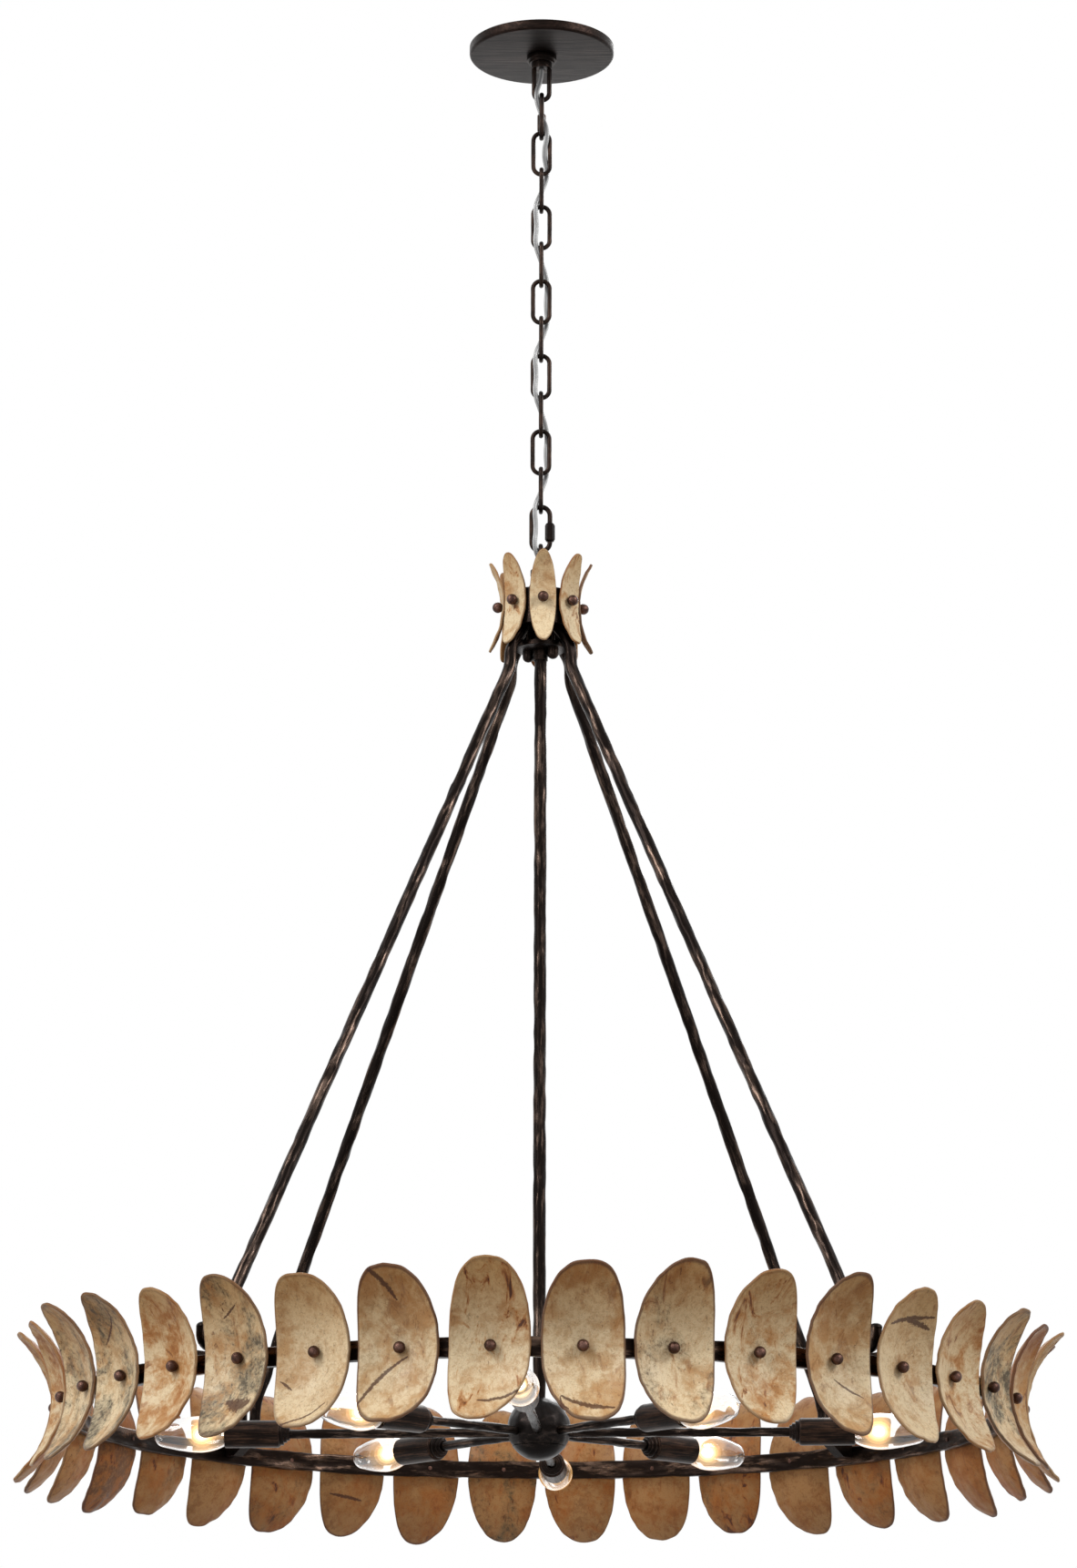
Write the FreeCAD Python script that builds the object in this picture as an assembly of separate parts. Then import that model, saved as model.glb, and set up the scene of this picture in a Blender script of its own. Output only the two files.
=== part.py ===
import FreeCAD, Part
import math
import os

# A round chandelier, hung from a ceiling plate by a chain.
# The origin is at the ceiling, in the middle of the mounting strap, and the lamp hangs along -Z.
# Millimetres throughout. An azimuth is a turn about +Z from -Y, the side that faces the room.

V = FreeCAD.Vector

OVERRUN = 2.0

# Ceiling strap, nipple and nuts
STRAP_LENGTH = 104.0
STRAP_WIDTH = 22.0
STRAP_THICKNESS = 1.6
SLOT_SPACING = 79.4
SLOT_LENGTH = 14.0
SLOT_WIDTH = 4.4
NIPPLE_DIAMETER = 9.8
NIPPLE_BORE = 7.0
NIPPLE_ENGAGEMENT = 10.0
NUT_ACROSS_FLATS = 17.0
NUT_HEIGHT = 3.0
GROUND_SCREW_PLACE = 22.0
GROUND_SCREW_DIAMETER = 3.4
GROUND_HEAD_DIAMETER = 7.0
GROUND_HEAD_HEIGHT = 2.2
GROUND_SLOT_WIDTH = 1.0

# Canopy pan and its screw collar
PAN_DIAMETER = 150.0
PAN_DEPTH = 10.0
PAN_WALL = 1.2
PAN_EDGE_RADIUS = 3.0
PAN_CEILING_GAP = 0.5
PAN_HOLE_DIAMETER = 24.0
COLLAR_DIAMETER = 31.0
COLLAR_HEIGHT = 5.0
COLLAR_STEP_DIAMETER = 26.4
COLLAR_STEP_HEIGHT = 3.0

# Wire loops, chain and quick links
LOOP_WIDTH = 20.7
LOOP_WIRE = 5.0
LOOP_BASE_DIAMETER = 21.0
CANOPY_LOOP_DROP = 50.8
CANOPY_LOOP_BASE_DROP = 14.0
LINK_COUNT = 10
LINK_LENGTH = 50.3
LINK_WIDTH = 21.6
LINK_WIRE = 4.7
QUICK_LINK_LENGTH = 52.0
QUICK_LINK_WIDTH = 23.5
QUICK_LINK_WIRE = 5.0
QUICK_LINK_GAP = 7.5
SLEEVE_LENGTH = 19.0
SLEEVE_ACROSS_FLATS = 8.8
SLEEVE_CHAMFER = 2.4
SLEEVE_FIT = 0.1
SLEEVE_SEAT = 1.0
LINK_CLEARANCE = 0.3
THREAD_FIT = 0.15

# Crown: the small hub at the top of the four rods
CROWN_TO_RING = 814.0
CROWN_LOOP_RISE = 68.3
CROWN_LOOP_BASE_HEIGHT = 6.0
CROWN_LOOP_LEG = 18.0
CROWN_NECK_DIAMETER = 16.0
CROWN_FLANGE_DIAMETER = 18.6
CROWN_FLANGE_HEIGHT = 4.0
CROWN_SHANK_LENGTH = 14.0
BAND_DIAMETER = 71.4
BAND_WALL = 3.2
BAND_TOP = 13.0
BAND_BOTTOM = 24.0
CAP_TOP = 8.0
CAP_THICKNESS = 5.0
PLATE_DROP = 44.0
PLATE_THICKNESS = 5.0
PLATE_DIAMETER = 51.6
TIE_CIRCLE_DIAMETER = 28.0
TIE_AZIMUTH = 62.0
TIE_DIAMETER = 4.4
TIE_HEAD_DIAMETER = 8.8
TIE_HEAD_HEIGHT = 3.0
ACORN_DIAMETER = 11.6
ACORN_SKIRT = 5.0

# Shells: pieces of natural shell, hollow side out, 36 on the ring and 8 on the crown
RING_SHELL_COUNT = 36
RING_SHELL_GROUPS = 6
RING_SHELL_PHASE = 4.7
RING_SHELL_HEIGHT = 142.0
RING_SHELL_WIDTH = 73.0
RING_SHELL_CURVE = 80.0
RING_SHELL_THICKNESS = 3.0
SHELL_HEIGHT_SPREAD_SHARE = 0.035
SHELL_WIDTH_SPREAD_SHARE = 0.025
SHELL_UPPER_SPREAD_SHARE = 0.03
SHELL_STEP_DEGREES = 137.5
CROWN_SHELL_COUNT = 8
CROWN_SHELL_PHASE = 3.3
CROWN_SHELL_HEIGHT = 95.0
CROWN_SHELL_WIDTH = 27.0
CROWN_SHELL_CURVE = 80.0
CROWN_SHELL_THICKNESS = 2.6
RIVET_HEAD_DIAMETER = 11.0
RIVET_SHANK_DIAMETER = 4.0
RIVET_STAND_OFF = 5.0

# Ring and rods
RING_DIAMETER = 920.0
RING_THICKNESS = 9.5
RING_HEIGHT = 19.0
RING_CHAMFER = 1.5
ROD_COUNT = 4
ROD_PHASE = 45.0
ROD_DIAMETER = 12.7
ROD_TOP_RADIUS = 22.0
ROD_SHOULDER_RADIUS = 42.5
ROD_TOP_STRAIGHT = 27.0
ROD_SHOULDER_DROP = 52.0
ROD_INSIDE_RING = 47.5
ROD_CORNER_RISE = 46.5
ROD_SHOULDER_LENGTH = 20.0
ROD_TOP_BEND = 25.0
ROD_SHOULDER_BEND = 30.0
ROD_FOOT_BEND = 45.0
HOOK_WIDTH = 21.0
HOOK_TURN_RISE = 33.1
HOOK_END_RISE = 44.0
LUG_WIDTH = 12.0
LUG_PAST_LEG = 1.5
LUG_TIP_HEIGHT = 4.0
LUG_KNEE_PAST_HOOK = 3.5
LUG_ROOT_DROP = 3.0
WELD_GAP = 0.15

# Central stem, hub and lamp arms
STEM_DIAMETER = 13.0
STEM_BORE = 8.0
STEM_SOCKET_DEPTH = 16.0
STEM_COLLAR_DIAMETER = 16.2
STEM_COLLAR_HEIGHT = 6.0
STEM_COLLAR_STEP_DIAMETER = 14.8
STEM_COLLAR_STEP_HEIGHT = 5.0
HUB_DIAMETER = 61.8
HUB_WALL = 3.0
HUB_DROP = 14.0
HUB_SPLIT_DROP = 17.0
HUB_LIP = 3.0
ARM_COUNT = 8
ARM_PHASE = -3.0
ARM_DROP = 18.0
ARM_DIAMETER = 9.4
ARM_END_GAP = 0.5
SHORT_ARM_STEP = 102.0
ARM_COLLAR_DIAMETERS = (13.0, 17.0, 22.0)
ARM_COLLAR_LENGTHS = (2.6, 3.2, 3.2)
CUP_DIAMETER = 26.5
CUP_WALL = 1.0
CUP_LENGTH = 54.0
HOLDER_DIAMETER = 23.0
HOLDER_LENGTH = 40.0
HOLDER_BORE_DEPTH = 20.0
HOLDER_CONTACT_DIAMETER = 6.0
HOLDER_CONTACT_HEIGHT = 1.0

# Bulbs
BULB_BASE_DIAMETER = 11.9
BULB_BASE_LENGTH = 19.0
BULB_BASE_FIT = 0.25
BULB_INSIDE_RING = 75.5
BULB_TIP_PAST_CUP = 70.0
BULB_GLASS_DIAMETER = 35.0
BULB_NECK_DIAMETER = 13.2
BULB_GLASS_WALL = 0.9
BULB_CONTACT_GAP = 0.3

# Lamp cord
CORD_DIAMETER = 5.0
CORD_BORE_FIT = 0.3
CORD_SEAT = 4.0
CORD_FIRST_RUN = 14.0
CORD_SIDE = 7.0
CORD_BESIDE_X = 4.6
CORD_BESIDE_Y = 4.2
CORD_IN_HOLE = 1.8
CORD_CROSSING = 1.0
CORD_ENTRY_RUN = 12.0
CORD_CORNERS = ((-1, -1), (1, -1), (1, 1), (-1, -1), (-1, -1), (1, 1), (1, 1), (-1, -1), (-1, -1),
                (1, 1), (1, 1), (-1, -1), (-1, -1))
CORD_ARC_SHARE = 0.45

# Places that follow from the sizes above
STRAP_BOTTOM = -STRAP_THICKNESS
PAN_BOTTOM = -PAN_CEILING_GAP - PAN_DEPTH
CANOPY_LOOP_BASE_BOTTOM = PAN_BOTTOM - CANOPY_LOOP_BASE_DROP
LOWER_NUT_TOP = STRAP_BOTTOM - NUT_HEIGHT - THREAD_FIT
CANOPY_LOOP_BASE_TOP = LOWER_NUT_TOP - NUT_HEIGHT - LINK_CLEARANCE
CANOPY_LOOP_WIRE_Z = PAN_BOTTOM - CANOPY_LOOP_DROP + LOOP_WIRE / 2


def hung_from(wire_z, upper_wire, lower_wire):
    """Height of a link's top wire when it hangs on the wire above."""
    return wire_z + (upper_wire + lower_wire) / 2 + LINK_CLEARANCE


def bottom_of(top_wire_z, length, wire):
    """Height of a link's bottom wire, from its top wire."""
    return top_wire_z - length + wire


UPPER_LINK_TOP = hung_from(CANOPY_LOOP_WIRE_Z, LOOP_WIRE, QUICK_LINK_WIRE)
UPPER_LINK_BOTTOM = bottom_of(UPPER_LINK_TOP, QUICK_LINK_LENGTH, QUICK_LINK_WIRE)
LINK_TOPS = [hung_from(UPPER_LINK_BOTTOM, QUICK_LINK_WIRE, LINK_WIRE)]
for _ in range(LINK_COUNT - 1):
    LINK_TOPS.append(hung_from(bottom_of(LINK_TOPS[-1], LINK_LENGTH, LINK_WIRE), LINK_WIRE, LINK_WIRE))
LINK_BOTTOMS = [bottom_of(top, LINK_LENGTH, LINK_WIRE) for top in LINK_TOPS]
LOWER_LINK_TOP = hung_from(LINK_BOTTOMS[-1], LINK_WIRE, QUICK_LINK_WIRE)
LOWER_LINK_BOTTOM = bottom_of(LOWER_LINK_TOP, QUICK_LINK_LENGTH, QUICK_LINK_WIRE)
CROWN_LOOP_WIRE_Z = hung_from(LOWER_LINK_BOTTOM, QUICK_LINK_WIRE, LOOP_WIRE)
CROWN_Z = CROWN_LOOP_WIRE_Z + LOOP_WIRE / 2 - CROWN_LOOP_RISE
RING_Z = CROWN_Z - CROWN_TO_RING
CROWN_LOOP_BASE_TOP = CROWN_LOOP_WIRE_Z + LOOP_WIRE / 2 - LOOP_WIDTH / 2 - CROWN_LOOP_LEG
CAP_BOTTOM = CROWN_Z + CAP_TOP - CAP_THICKNESS
PLATE_BOTTOM = CROWN_Z - PLATE_DROP
PLATE_TOP = PLATE_BOTTOM + PLATE_THICKNESS
BAND_RADIUS = BAND_DIAMETER / 2
CAP_RADIUS = BAND_RADIUS - BAND_WALL
RING_RADIUS = RING_DIAMETER / 2
RING_INNER_RADIUS = RING_RADIUS - RING_THICKNESS
ROD_LEG_RADIUS = RING_RADIUS - ROD_INSIDE_RING
HUB_Z = RING_Z - HUB_DROP
ARM_Z = RING_Z - ARM_DROP
CORD_BORE = CORD_DIAMETER + 2 * CORD_BORE_FIT
BULB_TIP_REACH = RING_INNER_RADIUS - BULB_INSIDE_RING
CUP_START = BULB_TIP_REACH - BULB_TIP_PAST_CUP - CUP_LENGTH
HOLDER_START = CUP_START + CUP_WALL
HOLDER_FRONT = HOLDER_START + HOLDER_LENGTH
BULB_BASE_START = HOLDER_FRONT - HOLDER_BORE_DEPTH + HOLDER_CONTACT_HEIGHT + BULB_CONTACT_GAP
BULB_GLASS_START = BULB_BASE_START + BULB_BASE_LENGTH


def at(radius, azimuth, z):
    """The point at a radius and azimuth about the lamp's axis."""
    turn = math.radians(azimuth)
    return V(radius * math.sin(turn), -radius * math.cos(turn), z)


def turned(shape, azimuth):
    """A copy of a shape made on the -Y side, turned to its azimuth."""
    copy = shape.copy()
    copy.rotate(V(0, 0, 0), V(0, 0, 1), azimuth)
    return copy


def round_bar(diameter, bottom, top, x=0.0, y=0.0):
    """An upright round bar between two heights."""
    return Part.makeCylinder(diameter / 2, top - bottom, V(x, y, bottom))


def loose_hole(diameter, bottom, top):
    """The tool for an upright hole that a round bar of that diameter passes freely."""
    return round_bar(diameter + 2 * THREAD_FIT, bottom - OVERRUN, top + OVERRUN)


def radial_bar(diameter, start, end, z):
    """A round bar that points out on the -Y side, between two distances from the axis."""
    return Part.makeCylinder(diameter / 2, end - start, V(0, -start, z), V(0, -1, 0))


def hexagon_bar(across_flats, bottom, top):
    """An upright hexagonal bar between two heights."""
    corner = across_flats / math.sqrt(3)
    points = [V(corner * math.cos(math.radians(a)), corner * math.sin(math.radians(a)), bottom)
              for a in range(0, 420, 60)]
    return Part.Face(Part.makePolygon(points)).extrude(V(0, 0, top - bottom))


def evenly_turned(shape, phase, count):
    """A group of copies of one shape at even steps about the lamp's axis."""
    return Part.makeCompound([turned(shape, phase + index * 360.0 / count) for index in range(count)])


def turned_profile(points, axis_point, axis):
    """The solid that a closed outline sweeps about an axis."""
    return Part.Face(Part.makePolygon(points + [points[0]])).revolve(axis_point, axis, 360)


def fused(pieces):
    """One solid from pieces that meet, without the seams between them."""
    whole = pieces[0].multiFuse(pieces[1:]).removeSplitter()
    return whole.Solids[0] if len(whole.Solids) == 1 else whole


def bent_path(points, radii):
    """Edges along a route, with a tangent arc at each inner point."""
    edges, last = [], points[0]
    for before, corner, after, radius in zip(points, points[1:], points[2:], radii):
        into, out = (corner - before).normalize(), (after - corner).normalize()
        half = into.getAngle(out) / 2
        reach = radius * math.tan(half)
        start, end = corner - into * reach, corner + out * reach
        inward = (out - into).normalize()
        middle = corner + inward * (radius / math.cos(half) - radius)
        if (start - last).Length > 1e-6:
            edges.append(Part.LineSegment(last, start).toShape())
        edges.append(Part.Arc(start, middle, end).toShape())
        last = end
    edges.append(Part.LineSegment(last, points[-1]).toShape())
    return edges


def tube_along(edges, diameter):
    """A round bar along joined edges."""
    first = edges[0]
    start = first.valueAt(first.FirstParameter)
    direction = first.tangentAt(first.FirstParameter)
    ring = Part.Wire([Part.Circle(start, direction, diameter / 2).toShape()])
    return Part.Wire(edges).makePipeShell([ring], True, False)


def stadium_edges(width, top, bottom, gap=None):
    """Centre line of a long link in the XZ plane, closed, or open where a gap is given on the +X leg."""
    half = width / 2
    high, low = top - half, bottom + half
    crest = Part.Arc(V(half, 0, high), V(0, 0, top), V(-half, 0, high)).toShape()
    left = Part.LineSegment(V(-half, 0, high), V(-half, 0, low)).toShape()
    sole = Part.Arc(V(-half, 0, low), V(0, 0, bottom), V(half, 0, low)).toShape()
    if gap is None:
        return [crest, left, sole, Part.LineSegment(V(half, 0, low), V(half, 0, high)).toShape()]
    gap_low, gap_high = gap
    before = Part.LineSegment(V(half, 0, gap_high), V(half, 0, high)).toShape()
    after = Part.LineSegment(V(half, 0, low), V(half, 0, gap_low)).toShape()
    return [before, crest, left, sole, after]


def chain_link(top, bottom, edge_on):
    """One welded chain link, from the heights of its top and bottom wires."""
    edges = stadium_edges(LINK_WIDTH - LINK_WIRE, top, bottom)
    link = tube_along(edges, LINK_WIRE)
    return turned(link, 90.0) if edge_on else link


def sleeve_heights(bottom):
    """Heights of a quick link's sleeve when it closes the gap."""
    low = bottom + (QUICK_LINK_WIDTH - QUICK_LINK_WIRE) / 2 + SLEEVE_SEAT
    return low, low + SLEEVE_LENGTH


def quick_link(top, bottom, edge_on):
    """The bent bar of a quick link, open at its gap."""
    gap_low = sleeve_heights(bottom)[0] + SLEEVE_SEAT
    gap = (gap_low, gap_low + QUICK_LINK_GAP)
    link = tube_along(stadium_edges(QUICK_LINK_WIDTH - QUICK_LINK_WIRE, top, bottom, gap), QUICK_LINK_WIRE)
    return turned(link, 90.0) if edge_on else link


def link_sleeve(bottom, edge_on):
    """The threaded sleeve that closes a quick link, on its +X leg."""
    low, high = sleeve_heights(bottom)
    leg = (QUICK_LINK_WIDTH - QUICK_LINK_WIRE) / 2
    corner = SLEEVE_ACROSS_FLATS / math.sqrt(3)
    neck = corner - SLEEVE_CHAMFER / 2
    outline = [V(0, 0, low), V(neck, 0, low), V(corner, 0, low + SLEEVE_CHAMFER),
               V(corner, 0, high - SLEEVE_CHAMFER), V(neck, 0, high), V(0, 0, high)]
    barrel = turned_profile(outline, V(0, 0, 0), V(0, 0, 1))
    sleeve = hexagon_bar(SLEEVE_ACROSS_FLATS, low, high).common(barrel)
    sleeve = sleeve.cut(round_bar(QUICK_LINK_WIRE + 2 * SLEEVE_FIT, low - OVERRUN, high + OVERRUN))
    sleeve.translate(V(leg, 0, 0))
    return turned(sleeve, 90.0) if edge_on else sleeve


def hanger_legs(base_z, wire_z):
    """A U of wire in the XZ plane, from a base plane round to the wire's far height."""
    half = (LOOP_WIDTH - LOOP_WIRE) / 2
    away = math.copysign(half, wire_z - base_z)
    turn_z = wire_z - away
    down = Part.LineSegment(V(-half, 0, base_z), V(-half, 0, turn_z)).toShape()
    bend = Part.Arc(V(-half, 0, turn_z), V(0, 0, wire_z), V(half, 0, turn_z)).toShape()
    back = Part.LineSegment(V(half, 0, turn_z), V(half, 0, base_z)).toShape()
    return tube_along([down, bend, back], LOOP_WIRE)


def mounting_strap():
    """The flat bar that screws to the ceiling box, with two slots and a middle hole."""
    strap = Part.makeBox(STRAP_LENGTH, STRAP_WIDTH, STRAP_THICKNESS,
                         V(-STRAP_LENGTH / 2, -STRAP_WIDTH / 2, STRAP_BOTTOM))
    ends = [edge for edge in strap.Edges
            if abs(edge.Vertexes[0].X - edge.Vertexes[1].X) < LINK_CLEARANCE
            and abs(edge.Vertexes[0].Y - edge.Vertexes[1].Y) < LINK_CLEARANCE]
    strap = strap.makeFillet(STRAP_WIDTH / 4, ends)
    run = (SLOT_LENGTH - SLOT_WIDTH) / 2
    low, high = STRAP_BOTTOM - OVERRUN, OVERRUN
    for side in (-1, 1):
        middle = side * SLOT_SPACING / 2
        slot = Part.makeBox(2 * run, SLOT_WIDTH, high - low, V(middle - run, -SLOT_WIDTH / 2, low))
        for end in (middle - run, middle + run):
            slot = slot.fuse(round_bar(SLOT_WIDTH, low, high, end))
        strap = strap.cut(slot)
    strap = strap.cut(round_bar(NIPPLE_DIAMETER + 2 * THREAD_FIT, low, high))
    return strap.cut(round_bar(GROUND_SCREW_DIAMETER, low, high, GROUND_SCREW_PLACE))


def ground_screw():
    """The slotted earth screw in the strap, flush with its top."""
    head_bottom = STRAP_BOTTOM - GROUND_HEAD_HEIGHT
    head = round_bar(GROUND_HEAD_DIAMETER, head_bottom, STRAP_BOTTOM, GROUND_SCREW_PLACE)
    slot = Part.makeBox(GROUND_HEAD_DIAMETER + OVERRUN, GROUND_SLOT_WIDTH, GROUND_SLOT_WIDTH,
                        V(GROUND_SCREW_PLACE - (GROUND_HEAD_DIAMETER + OVERRUN) / 2,
                          -GROUND_SLOT_WIDTH / 2, head_bottom))
    shank = round_bar(GROUND_SCREW_DIAMETER, STRAP_BOTTOM, 0, GROUND_SCREW_PLACE)
    return fused([head.cut(slot), shank])


def threaded_nipple():
    """The hollow nipple that joins the strap to the loop, flush with the strap's top."""
    low = CANOPY_LOOP_BASE_TOP - NIPPLE_ENGAGEMENT
    return round_bar(NIPPLE_DIAMETER, low, 0).cut(round_bar(NIPPLE_BORE, low - OVERRUN, OVERRUN))


def nipple_locknuts():
    """Two hexagon nuts on the nipple: one locks it under the strap, one locks the loop's base."""
    nuts = []
    for top in (STRAP_BOTTOM, LOWER_NUT_TOP):
        nut = hexagon_bar(NUT_ACROSS_FLATS, top - NUT_HEIGHT, top)
        nuts.append(nut.cut(loose_hole(NIPPLE_DIAMETER, top - NUT_HEIGHT, top)))
    return Part.makeCompound(nuts)


def canopy_loop():
    """The threaded base under the canopy, with its wire loop and the hole that the cord leaves by."""
    base = round_bar(LOOP_BASE_DIAMETER, CANOPY_LOOP_BASE_BOTTOM, CANOPY_LOOP_BASE_TOP)
    edge = [e for e in base.Edges if abs(e.BoundBox.ZMax - CANOPY_LOOP_BASE_BOTTOM) < THREAD_FIT
            and abs(e.BoundBox.ZMin - CANOPY_LOOP_BASE_BOTTOM) < THREAD_FIT]
    base = base.makeFillet(LOOP_WIRE / 4, edge)
    legs = hanger_legs(CANOPY_LOOP_BASE_BOTTOM + LOOP_WIRE / 2, CANOPY_LOOP_WIRE_Z)
    whole = fused([base, legs])
    socket_bottom = CANOPY_LOOP_BASE_TOP - NIPPLE_ENGAGEMENT - OVERRUN
    whole = whole.cut(round_bar(NIPPLE_DIAMETER + 2 * THREAD_FIT, socket_bottom, OVERRUN))
    return whole.cut(round_bar(CORD_BORE, CANOPY_LOOP_BASE_BOTTOM - OVERRUN, socket_bottom + OVERRUN))


def canopy_pan():
    """The shallow round cover that lies against the ceiling."""
    outer, inner, rim = PAN_DIAMETER / 2, PAN_DIAMETER / 2 - PAN_WALL, -PAN_CEILING_GAP
    pan = round_bar(PAN_DIAMETER, PAN_BOTTOM, rim)
    edge = [e for e in pan.Edges if abs(e.BoundBox.ZMax - PAN_BOTTOM) < PAN_WALL / 2]
    pan = pan.makeFillet(PAN_EDGE_RADIUS, edge)
    hollow = round_bar(2 * inner, PAN_BOTTOM + PAN_WALL, rim + OVERRUN)
    edge = [e for e in hollow.Edges if abs(e.BoundBox.ZMax - PAN_BOTTOM - PAN_WALL) < PAN_WALL / 2]
    hollow = hollow.makeFillet(PAN_EDGE_RADIUS - PAN_WALL, edge)
    return pan.cut(hollow).cut(round_bar(PAN_HOLE_DIAMETER, PAN_BOTTOM - OVERRUN, rim))


def screw_collar():
    """The stepped ring that screws up under the canopy and holds it."""
    bore = LOOP_BASE_DIAMETER / 2 + THREAD_FIT
    wide, narrow = COLLAR_DIAMETER / 2, COLLAR_STEP_DIAMETER / 2
    step, bottom = PAN_BOTTOM - COLLAR_HEIGHT, PAN_BOTTOM - COLLAR_HEIGHT - COLLAR_STEP_HEIGHT
    bevel = (wide - narrow) / 3
    outline = [V(bore, 0, PAN_BOTTOM), V(wide, 0, PAN_BOTTOM), V(wide, 0, step + bevel),
               V(wide - bevel, 0, step), V(narrow, 0, step), V(narrow, 0, bottom + bevel),
               V(narrow - bevel, 0, bottom), V(bore, 0, bottom)]
    return turned_profile(outline, V(0, 0, 0), V(0, 0, 1))


def crown_loop():
    """The loop, neck and hollow threaded shank that carry the whole light."""
    legs = turned(hanger_legs(CROWN_LOOP_BASE_TOP - LOOP_WIRE / 2, CROWN_LOOP_WIRE_Z), 90.0)
    base_bottom = CROWN_LOOP_BASE_TOP - CROWN_LOOP_BASE_HEIGHT
    flange_bottom = CROWN_Z + CAP_TOP
    shank_bottom = CAP_BOTTOM - CROWN_SHANK_LENGTH
    whole = fused([round_bar(LOOP_BASE_DIAMETER, base_bottom, CROWN_LOOP_BASE_TOP), legs,
                   round_bar(CROWN_NECK_DIAMETER, flange_bottom, base_bottom),
                   round_bar(CROWN_FLANGE_DIAMETER, flange_bottom, flange_bottom + CROWN_FLANGE_HEIGHT),
                   round_bar(NIPPLE_DIAMETER, shank_bottom, flange_bottom)])
    return whole.cut(round_bar(CORD_BORE, shank_bottom - OVERRUN, CROWN_LOOP_BASE_TOP + OVERRUN))


def crown_cap():
    """The round plate inside the crown band that the loop, the rods and the tie bolts meet."""
    cap = round_bar(2 * CAP_RADIUS, CAP_BOTTOM, CROWN_Z + CAP_TOP)
    cap = cap.cut(loose_hole(NIPPLE_DIAMETER, CAP_BOTTOM, CROWN_Z + CAP_TOP))
    for azimuth in (TIE_AZIMUTH, TIE_AZIMUTH + 180.0):
        place = at(TIE_CIRCLE_DIAMETER / 2, azimuth, 0.0)
        cap = cap.cut(round_bar(TIE_DIAMETER + 2 * THREAD_FIT, CAP_BOTTOM - OVERRUN,
                                CROWN_Z + CAP_TOP + OVERRUN, place.x, place.y))
    return cap


def crown_locknut():
    """The nut under the crown cap, on the loop's shank."""
    nut = hexagon_bar(NUT_ACROSS_FLATS, CAP_BOTTOM - NUT_HEIGHT, CAP_BOTTOM)
    hole = loose_hole(NIPPLE_DIAMETER, CAP_BOTTOM - NUT_HEIGHT, CAP_BOTTOM)
    return nut.cut(hole)


def crown_band():
    """The short tube that the eight crown shells are riveted to."""
    low, high = CROWN_Z - BAND_BOTTOM, CROWN_Z + BAND_TOP
    band = round_bar(BAND_DIAMETER, low, high).cut(round_bar(2 * CAP_RADIUS, low - OVERRUN, high + OVERRUN))
    hole = radial_bar(RIVET_SHANK_DIAMETER, CAP_RADIUS - OVERRUN, BAND_RADIUS + OVERRUN, CROWN_Z)
    for index in range(CROWN_SHELL_COUNT):
        band = band.cut(turned(hole, CROWN_SHELL_PHASE + index * 360.0 / CROWN_SHELL_COUNT))
    return band


def crown_plate():
    """The lower plate between the four rods, with holes for the stem and the tie bolts."""
    plate = round_bar(PLATE_DIAMETER, PLATE_BOTTOM, PLATE_TOP)
    low, high = PLATE_BOTTOM - OVERRUN, PLATE_TOP + OVERRUN
    plate = plate.cut(round_bar(STEM_DIAMETER + 2 * THREAD_FIT, low, high))
    for azimuth in (TIE_AZIMUTH, TIE_AZIMUTH + 180.0):
        place = at(TIE_CIRCLE_DIAMETER / 2, azimuth, 0.0)
        plate = plate.cut(round_bar(TIE_DIAMETER + 2 * THREAD_FIT, low, high, place.x, place.y))
    return plate


def tie_bolt(azimuth):
    """One long bolt from the crown cap to the lower plate, with its acorn nut."""
    place = at(TIE_CIRCLE_DIAMETER / 2, azimuth, 0.0)
    cap_top = CROWN_Z + CAP_TOP
    head = round_bar(TIE_HEAD_DIAMETER, cap_top, cap_top + TIE_HEAD_HEIGHT, place.x, place.y)
    shank = round_bar(TIE_DIAMETER, PLATE_BOTTOM - ACORN_SKIRT, cap_top, place.x, place.y)
    skirt = round_bar(ACORN_DIAMETER, PLATE_BOTTOM - ACORN_SKIRT, PLATE_BOTTOM, place.x, place.y)
    dome = Part.makeSphere(ACORN_DIAMETER / 2, V(place.x, place.y, PLATE_BOTTOM - ACORN_SKIRT))
    return fused([head, shank, skirt, dome])


def tie_bolts():
    """Both tie bolts."""
    return Part.makeCompound([tie_bolt(TIE_AZIMUTH), tie_bolt(TIE_AZIMUTH + 180.0)])


def oval_cone(height, width, upper_share, curve, centre_y, z):
    """A cone from the shell's centre of curvature, to cut an egg outline square to the wall."""
    def slopes(half):
        return half / math.sqrt(curve ** 2 - half ** 2)

    across = slopes(width / 2)
    up, down = slopes(height * upper_share), slopes(height * (1 - upper_share))

    def outline(distance):
        y = centre_y + distance
        side, high, low = across * distance, up * distance, down * distance
        corners = [V(side, y, z), V(0, y, z + high), V(-side, y, z), V(0, y, z - low)]
        halves = []
        for index, (reach, sign) in enumerate(((high, 1), (low, -1))):
            ellipse = Part.Ellipse(V(0, y, z), side, reach) if side > reach else None
            if ellipse is None:
                ellipse = Part.Ellipse(V(0, y, z + reach), V(side, y, z), V(0, y, z))
            start = ellipse.parameter(corners[2 * index])
            end = ellipse.parameter(corners[(2 * index + 2) % 4])
            through = ellipse.parameter(corners[(2 * index + 1) % 4])
            if not (start < through < end or start < through + 2 * math.pi < end):
                start, end = end, start
            if end < start:
                end += 2 * math.pi
            halves.append(Part.ArcOfEllipse(ellipse, start, end).toShape())
        return Part.Wire(Part.__sortEdges__(halves))

    near, far = outline(curve / 8), outline(curve * 1.5)
    return Part.makeLoft([near, far], True, True)


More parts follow.
